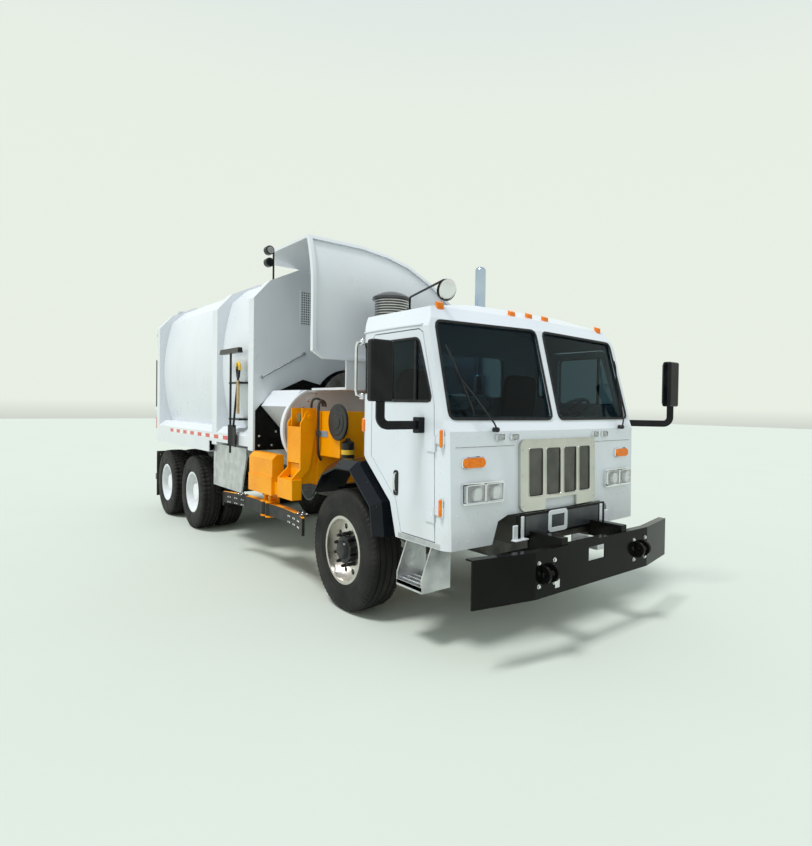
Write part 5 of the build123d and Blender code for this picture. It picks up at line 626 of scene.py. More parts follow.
# Wipers: one on each pane, a black steel arm on a pivot under the glass and a jointed blade
# with a rubber lip.
wipers = [((1.462, -0.744, 1.662), (1.378, -0.924, 1.927), (1.262, -1.092, 2.286), (1.430, -0.946, 1.771)),
          ((1.452, 0.902, 1.662), (1.376, 0.945, 1.960), (1.262, 1.028, 2.297), (1.420, 0.915, 1.771))]
wiper_forms = []
for pivot, hold, tip, foot in wipers:
    pivot, hold, tip, foot = (np.array(point) + (AXLE_X, 0, 0) for point in (pivot, hold, tip, foot))
    middle = (tip + foot) / 2
    arm = np.array([pivot, pivot * 0.85 + middle * 0.15 + (0.022, 0, 0),
                    pivot * 0.3 + middle * 0.7 + (0.022, 0, 0),
                    middle + (0.012, 0, 0)])
    wiper_forms.append(carried(spaced(arm, 0.03, ring=False), flat_profile(0.013, 0.008, 0.002),
                               up=(1, 0, 0.3)))
    blade = spaced(np.array([tip, middle, foot]), 0.03, ring=False)
    narrow = np.interp(np.arange(len(blade)), [0, 2, len(blade) - 3, len(blade) - 1], [0.4, 1, 1, 0.4])
    wiper_forms.append(carried(blade, flat_profile(0.012, 0.016, 0.003), up=(1, 0, 0.3), scale=narrow))
    cap = np.array([(-0.035, 0.019), (0.012, 0.019), (0.018, 0.013), (0.020, 0.0)])
    wiper_forms.append(turned(cap, pivot, "x", 16))
make_piece("wipers", wiper_forms, black_plastic, "chassis")

# Door fittings: a black recess with a chrome paddle, a bright sill strip under the door, and a
# chrome grab bar on two feet behind it.
chrome = mottled("chrome", (0.82, 0.82, 0.83), 0.06, ((0.76, 0.76, 0.77), (0.86, 0.86, 0.87)), 6.0,
                 metallic=1.0, shine=(20.0, 0.04, 0.14))
tread_metal = mottled("tread_plate", (0.60, 0.61, 0.62), 0.35, ((0.50, 0.51, 0.52), (0.68, 0.69, 0.70)),
                      10.0, metallic=1.0, shine=(20.0, 0.25, 0.5))
dress(tread_metal, "side_plates", "cab_steps")


def side_block(way, x_low, x_high, z_low, z_high, root_y, stand, edge):
    """A block on the side of the truck: from the root outwards by its stand."""
    ys = sorted((way * root_y, way * (root_y + stand)))
    return block((AXLE_X + x_low, ys[0], z_low), (AXLE_X + x_high, ys[1], z_high), edge)


for way, side in ((-1, "right"), (1, "left")):
    recess_corners = np.array([(0.735, 1.125), (0.790, 1.125), (0.790, 1.315), (0.735, 1.315)])
    recess = rounded(recess_corners, 0.02)
    recess_line = np.column_stack([AXLE_X + recess[:, 0], np.full(len(recess), way * 1.168), recess[:, 1]])
    rim = carried(spaced(recess_line, 0.01), flat_profile(0.010, 0.008, 0.002), up=(0, way, 0), ring=True)
    plate = side_block(way, 0.738, 0.787, 1.128, 1.312, 1.166, 0.005, 0.002)
    make_piece(f"handle_recess_{side}", [rim, plate], black_plastic, f"door_{side}")
    paddle_path = np.array([(0.762, 1.172, 1.150), (0.762, 1.190, 1.175), (0.762, 1.194, 1.235),
                            (0.762, 1.190, 1.275), (0.762, 1.172, 1.296)]) * (1, way, 1) + (AXLE_X, 0, 0)
    paddle = carried(spaced(paddle_path, 0.012, ring=False), flat_profile(0.022, 0.007, 0.002),
                     up=(0, way, 0))
    make_piece(f"door_handle_{side}", [paddle], chrome, f"door_{side}")
    bar_path = np.array([(0.178, 1.164, 1.905), (0.178, 1.200, 1.915), (0.178, 1.210, 1.960),
                         (0.178, 1.210, 2.320),
                         (0.178, 1.200, 2.365), (0.178, 1.140, 2.375)]) * (1, way, 1) + (AXLE_X + 0.02, 0, 0)
    grab = carried(spaced(bar_path, 0.02, ring=False), round_profile(0.013, 12), up=(1, 0, 0))
    feet = [side_block(way, 0.178, 0.218, z - 0.025, z + 0.025, 1.142, 0.022, 0.003) for z in (1.905, 2.375)]
    make_piece(f"grab_bar_{side}", [grab, *feet], chrome, "chassis")
    strip = side_block(way, 0.800, 1.330, 0.800, 0.832, 1.166, 0.008, 0.002)
    make_piece(f"sill_strip_{side}", [strip], tread_metal, "chassis")

# Cab steps: folded aluminium with a toothed tread that sheds mud.
for way, side in ((-1, "right"), (1, "left")):
    tooth_x = np.linspace(0.870, 1.155, 15)
    teeth_places = np.array([(AXLE_X + x, way * y, 0.4895)
                             for x in tooth_x for y in (0.985, 1.045, 1.105, 1.165)])
    tooth = np.array([(0.0, 0.009), (0.006, 0.006), (0.006, 0.004), (0.001, 0.003)])
    teeth = repeat(turned(tooth, (0, 0, 0), "z", 8), teeth_places)
    lip = side_block(way, 0.852, 1.173, 0.455, 0.486, 1.213, 0.002, 0.0008)
    make_piece(f"step_tread_{side}", [teeth, lip], tread_metal, "chassis")

# Front: a polished stainless grille with dark corrugated mesh behind its four slots, chromed
# lamp housings, and amber turn and roof lamps.
# The polished steel's dark beige tone is painted reflection of the surroundings, not the steel's own colour.
# It shows on the grille, its trim, the tailgate rods and the fuel tank.
polished = mottled("polished_steel", (0.56, 0.55, 0.51), 0.1, ((0.50, 0.50, 0.46), (0.62, 0.60, 0.56)), 3.0,
                   metallic=1.0, shine=(14.0, 0.05, 0.16))
dress(polished, "grille", "tailgate_rods", "fuel_tank")
# The exhaust stack's blue tint is painted reflection of the sky on its chrome.
stack_chrome_painted_sky_reflection = mottled("stack_chrome_painted_sky_reflection", (0.48, 0.58, 0.72), 0.12, ((0.44, 0.54, 0.68), (0.56, 0.64, 0.76)),
                       3.0, metallic=1.0, shine=(14.0, 0.08, 0.2))
dress(stack_chrome_painted_sky_reflection, "exhaust_stack")
mesh_black = mottled("mesh_black", (0.10, 0.10, 0.095), 0.45, ((0.11, 0.11, 0.10), (0.15, 0.15, 0.14)), 6.0,
                     metallic=0.7)


def corrugated(y_low, y_high, z_low, z_high, pitch, depth):
    """A sheet in small upright folds on the cab's skin: x = skin + depth x |triangle wave of y|, closed by
    a back that follows the skin."""
    y = np.linspace(y_low, y_high, int((y_high - y_low) / pitch * 4) + 1)
    skin = laid_on("cab_shell", [(front_far, place_y, (z_low + z_high) / 2) for place_y in y], (-1, 0, 0))
    root_x = skin[:, 0] + 0.004
    fold = depth * np.abs(2 * ((y - y_low) / pitch % 1) - 1)
    z = np.linspace(z_low, z_high, 24)
    slats = 0.002 * (np.arange(24) % 2)
    front = np.stack([(root_x + fold)[None, :] + slats[:, None], np.broadcast_to(y, (24, len(y))),
                      np.broadcast_to(z[:, None], (24, len(y)))], axis=-1)
    return closed_sheet(front, root_x - 0.004)


mesh_forms = [corrugated(low_y - 0.004, high_y + 0.004, 1.119, 1.514, 0.012, 0.006)
              for low_y, high_y in ((-0.391, -0.227), (-0.191, -0.019), (0.019, 0.201), (0.236, 0.401))]
make_piece("grille_mesh", mesh_forms, mesh_black, "chassis", smooth=20.0)
slot_rims = []
for low_y, high_y in ((-0.391, -0.227), (-0.191, -0.019), (0.019, 0.201), (0.236, 0.401)):
    corners = np.array([(low_y, 1.123), (high_y, 1.123), (high_y, 1.510), (low_y, 1.510)])
    outline = spaced(rounded(corners, 0.022), 0.02)
    probes = np.column_stack([np.full(len(outline), front_far),
                              outline + (outline - outline.mean(axis=0)) * 0.06])
    line = laid_on("grille", probes, (-1, 0, 0))
    line[:, 1:] = outline
    slot_rims.append(carried(line, flat_profile(0.007, 0.003, 0.001), up=(1, 0, 0), ring=True))
grille_bolts = np.array([(front_far, y, z) for y in (-0.455, 0.455) for z in (1.06, 1.30, 1.50)])
slot_rims.append(dome_row(laid_on("grille", grille_bolts, (-1, 0, 0)), (-1, 0, 0), 0.008, 0.004, 12))
make_piece("grille_trim", slot_rims, polished, "chassis", smooth=50.0)

clear_lens, tree, shader = new_finish("clear_lens", (0.86, 0.88, 0.90), 0.04)
shader.inputs["Transmission Weight"].default_value = 0.75
lens_place = add_node(tree, "ShaderNodeTexCoord")
lens_flutes = add_node(tree, "ShaderNodeTexWave", Scale=26.0, bands_direction="Y")
lens_bump = add_node(tree, "ShaderNodeBump", Strength=0.35, Distance=0.002)
tree.links.new(lens_place.outputs["Object"], lens_flutes.inputs["Vector"])
tree.links.new(lens_flutes.outputs["Fac"], lens_bump.inputs["Height"])
tree.links.new(lens_bump.outputs["Normal"], shader.inputs["Normal"])
amber_lens = mottled("amber_lens", (0.84, 0.19, 0.005), 0.2, ((0.80, 0.16, 0.004), (0.88, 0.24, 0.01)),
                     40.0, specular=0.3)
dress(amber_lens, "amber_lamps")
red_lens = mottled("red_lens", (0.55, 0.01, 0.01), 0.12, ((0.50, 0.008, 0.008), (0.62, 0.02, 0.02)), 40.0,
                   coat=0.5)
dress(red_lens, "tail_lamps")
dress(chrome, "headlamps")


def pillow(y_low, y_high, z_low, z_high, root_x, rise):
    """A pressed glass: x = root + rise (1 - v^6)(1 - w^6) over the rectangle, closed by a flat back."""
    v, w = np.meshgrid(np.linspace(-1, 1, 13), np.linspace(-1, 1, 13), indexing="ij")
    y = (y_low + y_high) / 2 + v * (y_high - y_low) / 2
    z = (z_low + z_high) / 2 + w * (z_high - z_low) / 2
    front = np.stack([root_x + rise * (1 - v ** 6) * (1 - w ** 6), y, z], axis=-1)
    return closed_sheet(front, root_x - 0.004)


lamp_forms, lens_forms, turn_rims, bulb_forms = [], [], [], []
for way in (-1, 1):
    for inner, outer in ((0.668, 0.848), (0.859, 1.039)):
        low_y, high_y = sorted((way * inner, way * outer))
        lens_forms.append(pillow(low_y, high_y, 1.130, 1.260, AXLE_X + 1.462, 0.009))
        corners = np.array([(low_y, 1.130), (high_y, 1.130), (high_y, 1.260), (low_y, 1.260)])
        outline = spaced(rounded(corners, 0.012), 0.015)
        line = np.column_stack([np.full(len(outline), AXLE_X + 1.458), outline])
        lamp_forms.append(carried(line, flat_profile(0.009, 0.014, 0.003), up=(1, 0, 0), ring=True))
        dish = np.array([(0.000, 0.0), (0.0004, 0.05), (0.003, 0.058), (0.0034, 0.060), (-0.001, 0.062),
                         (-0.001, 0.0)])
        middle_y = (low_y + high_y) / 2
        bulb_forms.append(turned(dish, (AXLE_X + 1.4592, middle_y, 1.195), "x", 24))
    low_y, high_y = sorted((way * 0.837, way * 1.041))
    corners = np.array([(low_y, 1.386), (high_y, 1.386), (high_y, 1.455), (low_y, 1.455)])
    outline = spaced(rounded(corners, 0.0335), 0.012)
    probes = np.column_stack([np.full(len(outline), front_far),
                              outline + (outline - outline.mean(axis=0)) * 0.25])
    line = laid_on("cab_shell", probes, (-1, 0, 0))
    line[:, 1:] = outline + (outline - outline.mean(axis=0)) * (0.04, 0.12)
    turn_rims.append(carried(line, flat_profile(0.014, 0.020, 0.006), up=(1, 0, 0), ring=True))
make_piece("headlamp_lenses", lens_forms, clear_lens, "chassis", smooth=50.0)
make_piece("headlamp_rims", lamp_forms + bulb_forms, chrome, "chassis")
make_piece("turn_lamp_rims", turn_rims, chrome, "chassis")

washer_forms, washer_lenses = [], []
for y in (-0.678, -0.527, 0.505, 0.656):
    seat = laid_on("cab_shell", [(front_far, y, 1.603)], (-1, 0, 0))[0]
    base = rounded(np.array([(-0.045, -0.026), (0.045, -0.026), (0.045, 0.026), (-0.045, 0.026)]), 0.018)
    line = np.column_stack([np.full(len(base), seat[0]), seat[1] + base[:, 0], seat[2] + base[:, 1]])
    washer_forms.append(carried(spaced(line, 0.012), flat_profile(0.008, 0.026, 0.003), up=(1, 0, 0),
                                ring=True))
    washer_lenses.append(pillow(seat[1] - 0.042, seat[1] + 0.042, seat[2] - 0.023, seat[2] + 0.023,
                                seat[0] + 0.012, 0.014))
make_piece("marker_housings", washer_forms, chrome, "chassis")
make_piece("marker_lenses", washer_lenses, clear_lens, "chassis", smooth=50.0)

side_markers, marker_feet = [], []
for way in (-1, 1):
    for x, z, half_x, half_z in ((1.345, 1.100, 0.012, 0.062), (1.345, 1.600, 0.012, 0.062),
                                 (0.262, 1.660, 0.018, 0.055)):
        seat = laid_on("cab_shell", [(AXLE_X + x, way * 1.6, z)], (0, -way, 0))[0]
        side_markers.append(side_block(way, x - half_x, x + half_x, z - half_z, z + half_z,
                                       abs(seat[1]) - 0.004, 0.024, 0.006))
        marker_feet.append(side_block(way, x - half_x - 0.006, x + half_x + 0.006, z - half_z - 0.006,
                                      z + half_z + 0.006,
                                      abs(seat[1]) - 0.006, 0.011, 0.003))
make_piece("side_markers", side_markers, amber_lens, "chassis")
make_piece("marker_feet", marker_feet, chrome, "chassis")

# Front bumper, apron, fenders and guard: sheet steel and moulded plastic in glossy black. The
# apron between them is a dark sheet with a white square frame, and white brackets beside it.
black_paint = mottled("black_bumper_paint", (0.004, 0.004, 0.004), 0.16,
                      ((0.003, 0.003, 0.003), (0.007, 0.007, 0.006)), 2.0, specular=0.12,
                      shine=(5.0, 0.10, 0.22), grain=(160.0, 0.015))
dress(black_paint, "front_bumper", "bulkhead_guard", "roof_mirror")
fender_plastic = mottled("fender_plastic", (0.005, 0.007, 0.010), 0.16,
                         ((0.004, 0.006, 0.009), (0.007, 0.009, 0.013)), 5.0, specular=0.2,
                         grain=(260.0, 0.04))
dress(fender_plastic, "front_fenders")
apron_grey = mottled("grey_apron", (0.055, 0.06, 0.07), 0.3, ((0.045, 0.05, 0.06), (0.09, 0.095, 0.10)),
                     5.0, metallic=0.5, grain=(90.0, 0.1))
apron_face = laid_on("front_bumper", [(front_far, 0.0, 0.96)], (-1, 0, 0))[0]
v, w = np.meshgrid(np.linspace(-1, 1, 33), np.linspace(0, 1, 12), indexing="ij")
apron_x = apron_face[0] + 0.003 + 0.006 * (1 - v ** 2)
skin_front = np.stack([apron_x, 0.47 * v, 0.835 + 0.150 * w], axis=-1)
apron_skin = closed_sheet(skin_front, apron_face[0] + 0.0005)
make_piece("apron_skin", [apron_skin], apron_grey, "chassis")
corners = np.array([(-0.190, 0.845), (0.010, 0.845), (0.010, 0.985), (-0.190, 0.985)])
frame_line = np.column_stack([np.full(28, apron_face[0] + 0.009), rounded(corners, 0.008)])
square_frame = carried(spaced(frame_line, 0.012), flat_profile(0.036, 0.008, 0.002), up=(1, 0, 0), ring=True)
bracket_forms = [square_frame]
for way in (-1, 1):
    for y, width, top in ((0.505, 0.030, 0.990), (0.585, 0.050, 0.930)):
        ys = sorted((way * (y - width / 2), way * (y + width / 2)))
        bracket_forms.append(block((apron_face[0] - 0.004, ys[0], 0.815),
                                   (apron_face[0] + 0.012, ys[1], top), 0.004))
        bracket_forms.append(block((apron_face[0] - 0.004, ys[0] - 0.012, 0.813),
                                   (apron_face[0] + 0.05, ys[1] + 0.012, 0.823), 0.003))
make_piece("apron_brackets", bracket_forms, white_paint, "chassis")

bolt_head = np.array([(-0.004, 0.0), (-0.004, 0.017), (0.002, 0.017), (0.003, 0.013), (0.011, 0.012),
                      (0.013, 0.008), (0.013, 0.0)])
bolt_spots = [(way * (0.600 + y), z) for way in (-1, 1) for y in (-0.085, 0.085) for z in (0.560, 0.725)]
bolt_starts = np.array([(front_far + 0.4, y, z) for y, z in bolt_spots])
bolt_seats = laid_on("front_bumper", bolt_starts, (-1, 0, 0))
make_piece("lug_bolts", [repeat(turned(bolt_head, (0, 0, 0), "x", 12), bolt_seats)], bright_steel,
           "chassis")
tag_seat = laid_on("front_bumper", [(front_far + 0.4, -0.483, 0.545)], (-1, 0, 0))[0]
tag_plate = block((tag_seat[0] - 0.001, -0.508, 0.515), (tag_seat[0] + 0.006, -0.458, 0.575), 0.002)
tag_stem = carried(np.array([(tag_seat[0] + 0.004, -0.483, 0.572), (tag_seat[0] + 0.006, -0.483, 0.600),
                             (tag_seat[0] + 0.004, -0.483, 0.620)]), round_profile(0.006), up=(1, 0, 0))
make_piece("bumper_tag", [tag_plate, tag_stem], bright_steel, "chassis")

fender_bolts = []
for way in (-1, 1):
    spots = np.array([(AXLE_X - 0.42, 1.6, 1.16), (AXLE_X - 0.30, 1.6, 1.285), (AXLE_X - 0.05, 1.6, 1.300),
                      (AXLE_X + 0.18, 1.6, 1.300),
                      (AXLE_X + 0.38, 1.6, 1.18), (AXLE_X + 0.55, 1.6, 1.00)]) * (1, way, 1)
    landed = laid_on("front_fenders", spots, (0, -way, 0))
    fender_bolts.append(dome_row(landed[np.abs(landed[:, 1]) < 1.3], (0, -way, 0), 0.010, 0.004, 12))
make_piece("fender_bolts", fender_bolts, black_plastic, "chassis", smooth=60.0)

# Mirrors: black moulded heads on tubular arms, silvered glass in a rubber bead, and a round
# wide-angle mirror over the right corner of the roof.
mirror_shell = mottled("mirror_shell", (0.006, 0.006, 0.008), 0.12,
                       ((0.004, 0.004, 0.006), (0.010, 0.010, 0.012)), 8.0, specular=0.2,
                       grain=(220.0, 0.02))
dress(mirror_shell, "mirror_left", "mirror_right")
for way, side, head_x in ((-1, "right", 1.070), (1, "left", 1.585)):
    tip = way * (1.622 - 0.095)
    v, w = np.meshgrid(np.linspace(-1, 1, 15), np.linspace(-1, 1, 21), indexing="ij")
    glass_y, glass_z = tip + 0.076 * v, 2.080 + 0.190 * w
    rear = laid_on(f"mirror_{side}", [(AXLE_X + head_x - 0.6, tip, 2.080)], (1, 0, 0))[0]
    face = np.stack([rear[0] - 0.004 - 0.004 * (1 - v ** 8) * (1 - w ** 8), glass_y, glass_z], axis=-1)
    glass_form = closed_sheet(face, rear[0] + 0.001)
    make_piece(f"mirror_glass_{side}", [glass_form], chrome, f"door_{side}", smooth=50.0)
low, high = box_of("roof_mirror")
disc_middle = np.array([high[0] - 0.028, low[1] + 0.080, 2.690])
lean = math.radians(20)
dish_out = np.array([(0.013, 0.0), (0.012, 0.030), (0.008, 0.060), (0.001, 0.076), (-0.003, 0.079),
                     (-0.006, 0.076), (-0.006, 0.0)])
dish_points, dish_quads, dish_caps = turned(dish_out, (0, 0, 0), "x", 40)
turn_matrix = np.array([(math.cos(lean), 0, math.sin(lean)), (0, 1, 0),
                        (-math.sin(lean), 0, math.cos(lean))])
dish_seat = laid_on("roof_mirror", [disc_middle + (0.4, 0, 0)], (-1, 0, 0))[0]
dish_form = dish_points @ turn_matrix.T + dish_seat + (0.001, 0, 0), dish_quads, dish_caps
make_piece("roof_mirror_glass", [dish_form], chrome, "chassis", smooth=50.0)

# Cab inside: a moulded blue-grey dashboard, and two sprung seats with dark woven covers over
# foam, each a crowned cushion and back with a seam round it.
cabin_plastic = mottled("cabin_plastic", (0.26, 0.34, 0.38), 0.55, ((0.24, 0.32, 0.36), (0.30, 0.38, 0.42)),
                        30.0, grain=(400.0, 0.2))
dress(cabin_plastic, "dashboard")
seat_cloth, tree, shader = new_finish("seat_cloth", (0.06, 0.06, 0.065), 0.9)
place, mix = spread_colour(tree, shader, (0.055, 0.062, 0.07), (0.065, 0.072, 0.08), 60.0)
fine_bump(tree, shader, place, 500.0, 0.1)
shader.inputs["Sheen Weight"].default_value = 0.1


def cushion(middle, half, lean_back, crown):
    """A stuffed form: a rounded box |x|^n + |y|^n + |z|^n = 1 with n of 5, whose faces rise by the crown to
    their middle and draw in at a seam round its edge, then leaned about Y."""
    u, v = np.meshgrid(np.linspace(-np.pi, np.pi, 72, endpoint=False),
                       np.linspace(-np.pi / 2, np.pi / 2, 37), indexing="ij")
    ball = np.stack([np.cos(v) * np.cos(u), np.cos(v) * np.sin(u), np.sin(v)], axis=-1)
    stretch = (np.abs(ball) ** 5).sum(axis=-1) ** (-1 / 5)
    box_points = ball * stretch[..., None]
    swell = 1 + crown * (1 - np.abs(box_points[..., 0]) ** 2) * (1 - np.abs(box_points[..., 1]) ** 2)
    box_points[..., 2] = box_points[..., 2] * swell
    seam = 1 - 0.025 * np.exp(-(box_points[..., 2] / 0.06) ** 2)
    box_points[..., :2] = box_points[..., :2] * seam[..., None]
    channel = 1 - 0.03 * np.exp(-((np.abs(box_points[..., 1]) - 0.55) / 0.05) ** 2)
    box_points[..., 2] = box_points[..., 2] * channel
    points = box_points * half
    tilt = np.array([(math.cos(lean_back), 0, math.sin(lean_back)), (0, 1, 0),
                     (-math.sin(lean_back), 0, math.cos(lean_back))])
    return points.reshape(-1, 3) @ tilt.T + middle, grid_quads(72, 37, True, False), []


seat_pieces = []
for way, side in ((-1, "right"), (1, "left")):
    base = block((AXLE_X + 0.285, way * 0.65 - 0.21, 1.452), (AXLE_X + 0.735, way * 0.65 + 0.21, 1.545),
                 0.02)
    seat_pieces.append(make_piece(f"seat_base_{side}", [base], cabin_plastic, "chassis"))
    pad = cushion(np.array([AXLE_X + 0.515, way * 0.65, 1.602]), (0.228, 0.238, 0.054), 0.0, 0.10)
    rest = cushion(np.array([AXLE_X + 0.350, way * 0.65, 1.905]), (0.255, 0.225, 0.052), math.radians(-82),
                   0.08)
    for label, form in (("seat_cushion", pad), ("seat_back", rest)):
        soft = make_piece(f"{label}_{side}", [form], seat_cloth, "chassis", smooth=80.0)
        seat_pieces.append(soft)
for piece in seat_pieces:
    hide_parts("seats")

# Exhaust stack and air intake: a bright tube behind the cab, and a black drum with a domed rain
# cap over a ribbed steel neck. Band clamps hold the stack, and two steel straps the fuel tank.
intake_black = mottled("intake_black", (0.03, 0.033, 0.036), 0.3,
                       ((0.024, 0.027, 0.03), (0.06, 0.06, 0.06)), 5.0, coat=0.3, grain=(120.0, 0.08))
dress(intake_black, "air_intake")
low, high = box_of("fuel_tank")
band_section = np.array([(-0.001, -0.030), (0.003, -0.030), (0.003, 0.030), (-0.001, 0.030)])
angle = np.linspace(0, 2 * np.pi, 64, endpoint=False)
strap_forms = []
for share in (0.22, 0.78):
    strap_x = low[0] + share * (high[0] - low[0])
    loop = np.stack([np.full(64, strap_x), 0.800 + 0.3105 * np.cos(angle), 0.680 + 0.3105 * np.sin(angle)],
                    axis=1)
    strap_forms.append(carried(loop, band_section, up=(1, 0, 0), ring=True))
for band_z in (2.30, 2.62):
    loop = np.stack([AXLE_X - 0.430 + 0.0625 * np.cos(angle), 0.800 + 0.0625 * np.sin(angle),
                     np.full(64, band_z)], axis=1)
    strap_forms.append(carried(loop, band_section * (1, 0.5), up=(0, 0, 1), ring=True))
make_piece("steel_bands", strap_forms, bright_steel, "chassis")
rib_forms = []
for rib_z in np.linspace(2.675, 2.850, 8):
    loop = np.stack([AXLE_X - 0.250 + 0.1655 * np.cos(angle), -0.550 + 0.1655 * np.sin(angle),
                     np.full(64, rib_z)], axis=1)
    rib_forms.append(carried(loop,
                             np.array([(-0.002, -0.005), (0.003, -0.003), (0.003, 0.003), (-0.002, 0.005)]),
                             up=(0, 0, 1), ring=True))
make_piece("intake_ribs", rib_forms, bright_steel, "chassis")

# Refuse body, hopper and tailgate: rolled and welded steel sheet in the same white, a little
# duller, with streaks of dirt that rain has drawn down. Each side ledge carries a strip of red
# and white reflecting tape, and the roof's rear edge two lifting loops.
body_paint, tree, shader = new_finish("white_body_paint", (0.78, 0.79, 0.80), 0.32, coat=0.3)
place, mix = spread_colour(tree, shader, (0.69, 0.72, 0.77), (0.74, 0.77, 0.82), 0.8)
spread_roughness(tree, shader, place, 2.0, 0.26, 0.42)
fine_bump(tree, shader, place, 160.0, 0.05)
film = road_film(tree, shader, place, mix, (0.50, 0.47, 0.42), 1.6, 0.2)
streak_map = add_node(tree, "ShaderNodeMapping")
streak_map.inputs["Scale"].default_value = (6.0, 6.0, 0.35)
streaks = add_node(tree, "ShaderNodeTexNoise", Scale=3.0, Detail=6.0, Roughness=0.7)
streak_sort = add_node(tree, "ShaderNodeMapRange")
streak_sort.inputs["From Min"].default_value = 0.58
streak_sort.inputs["From Max"].default_value = 0.88
streak_sort.inputs["To Max"].default_value = 0.12
stain = add_node(tree, "ShaderNodeMix", data_type="RGBA")
stain.inputs["B"].default_value = (0.55, 0.53, 0.49, 1)
tree.links.new(place.outputs["Object"], streak_map.inputs["Vector"])
tree.links.new(streak_map.outputs["Vector"], streaks.inputs["Vector"])
tree.links.new(streaks.outputs["Fac"], streak_sort.inputs["Value"])
tree.links.new(streak_sort.outputs["Result"], stain.inputs["Factor"])
tree.links.new(film.outputs["Result"], stain.inputs["A"])
tree.links.new(stain.outputs["Result"], shader.inputs["Base Color"])
dress(body_paint, "body_shell", "tailgate", "hopper_trough", "hopper_hood", "rear_fenders")

tape_red = mottled("tape_red", (0.62, 0.02, 0.02), 0.3, ((0.58, 0.015, 0.015), (0.68, 0.03, 0.03)), 60.0,
                   coat=0.4)
tape_silver = mottled("tape_silver", (0.80, 0.80, 0.78), 0.3, ((0.74, 0.74, 0.72), (0.86, 0.86, 0.84)),
                      60.0, coat=0.4)
tape_rear = -5.40
tape_front = -2.86
tape_length = (tape_front - tape_rear) / 15
red_forms, silver_forms = [], []
for way in (-1, 1):
    for number in range(15):
        start_x = tape_rear + number * tape_length
        strip = side_block(way, start_x, start_x + tape_length - 0.004, 1.362, 1.412, 1.2185, 0.0030, 0.0008)
        (red_forms if number % 2 == 0 else silver_forms).append(strip)
make_piece("tape_red_strips", red_forms, tape_red, "chassis")
make_piece("tape_silver_strips", silver_forms, tape_silver, "chassis")

loop_forms = []
for y in (-0.55, 0.55):
    for x in (-5.95, -2.16):
        seat = laid_on("body_shell", [(AXLE_X + x, y, 4.4)], (0, 0, -1))[0]
        turn = np.linspace(0, np.pi, 15)
        bow = np.stack([seat[0] + 0.055 * np.cos(turn), np.full(15, y),
                        seat[2] + 0.004 + 0.075 * np.sin(turn)], axis=1)
        loop_forms.append(carried(bow, round_profile(0.011), up=(0, 1, 0)))
        loop_forms.append(block((seat[0] - 0.085, y - 0.03, seat[2] - 0.004),
                                (seat[0] + 0.085, y + 0.03, seat[2] + 0.008), 0.003))
make_piece("lifting_loops", loop_forms, body_paint, "chassis")

weld_forms = []
for way in (-1, 1):
    for x in (-4.45, -5.30):
        heights = np.linspace(1.50, 3.15, 40)
        starts = np.array([(AXLE_X + x, way * 1.9, z) for z in heights])
        line = laid_on("body_shell", starts, (0, -way, 0))
        weld_forms.append(carried(line, flat_profile(0.010, 0.003, 0.001) - (0, 0.0015), up=(0, way, 0)))
make_piece("body_weld_seams", weld_forms, body_paint, "chassis")

# Tail lamps, side plates and mud flaps: round red lamps in rubber rings, raised lozenges on
# the aluminium plates, and bolt rows that clamp the flaps under their bars.
lamp_rings = []
tail_low, tail_high = box_of("tail_lamps")
for way in (-1, 1):
    for z in (tail_low[2] + 0.045, tail_high[2] - 0.045):
        ring = np.array([(0.001, 0.030), (-0.006, 0.032), (-0.010, 0.036), (-0.006, 0.041), (0.001, 0.042)])
        lamp_rings.append(turned(ring, (tail_low[0], way * 1.175, z), "x", 32)[:2] + ([],))
make_piece("tail_lamp_rings", lamp_rings, gasket_rubber, "chassis")

lozenge_forms = []
lozenge = np.array([(-0.0005, 0.009), (0.0012, 0.006), (0.0016, 0.0)])
for way in (-1, 1):
    column, row = np.meshgrid(np.arange(34), np.arange(15), indexing="ij")
    x = AXLE_X - 3.52 + column * 0.032 + (row % 2) * 0.016
    z = 0.755 + row * 0.030
    inside = (x < AXLE_X - 2.46 - np.clip((0.95 - z) * 0.2, 0, 1))
    places = np.stack([x[inside], np.full(inside.sum(), way * 1.1600), z[inside]], axis=1)
    form = turned(lozenge * (way, 1), (0, 0, 0), "y", 6)
    form = (form[0] * (1.25, 1, 0.45), form[1], form[2])
    lozenge_forms.append(repeat(form, places))
make_piece("plate_lozenges", lozenge_forms, tread_metal, "chassis", smooth=60.0)

flap_rubber = mottled("flap_rubber", (0.02, 0.02, 0.02), 0.8, ((0.018, 0.018, 0.018), (0.05, 0.047, 0.043)),
                      5.0, grain=(200.0, 0.2))
dress(flap_rubber, "mud_flaps")
flap_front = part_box("mud_flaps")[1][0]
flap_starts = np.array([(flap_front + 0.5, way * y, 0.93)
                        for way in (-1, 1) for y in np.linspace(0.70, 1.14, 5)])
flap_seats = laid_on("mud_flaps", flap_starts, (-1, 0, 0))
make_piece("flap_bolts", [repeat(turned(bolt_head * 0.7, (0, 0, 0), "x", 10), flap_seats)], bright_steel,
           "chassis")

# Hand tools on clips at the body's right front corner: a push broom with brown bristles and a
# shovel with a yellow grip. Two work lamps with glass lenses stand on a post above them.
dress(black_plastic, "hand_tools", "work_lights")
bristle_brown = mottled("bristle_brown", (0.10, 0.075, 0.05), 0.9, ((0.05, 0.04, 0.03), (0.16, 0.12, 0.08)),
                        90.0)
grip_yellow = mottled("grip_yellow", (0.78, 0.50, 0.03), 0.45, ((0.72, 0.44, 0.02), (0.82, 0.55, 0.05)),
                      12.0)
wood = mottled("ash_wood", (0.50, 0.36, 0.20), 0.6, ((0.42, 0.29, 0.15), (0.58, 0.42, 0.25)), 30.0)
tuft = np.array([(-0.022, 0.0), (-0.022, 0.007), (0.018, 0.010), (0.026, 0.004), (0.026, 0.0)])
tuft_x = np.linspace(-2.985, -2.415, 30)
tuft_places = np.array([(AXLE_X + x, y, 2.470) for x in tuft_x for y in (-1.262, -1.246, -1.230)])
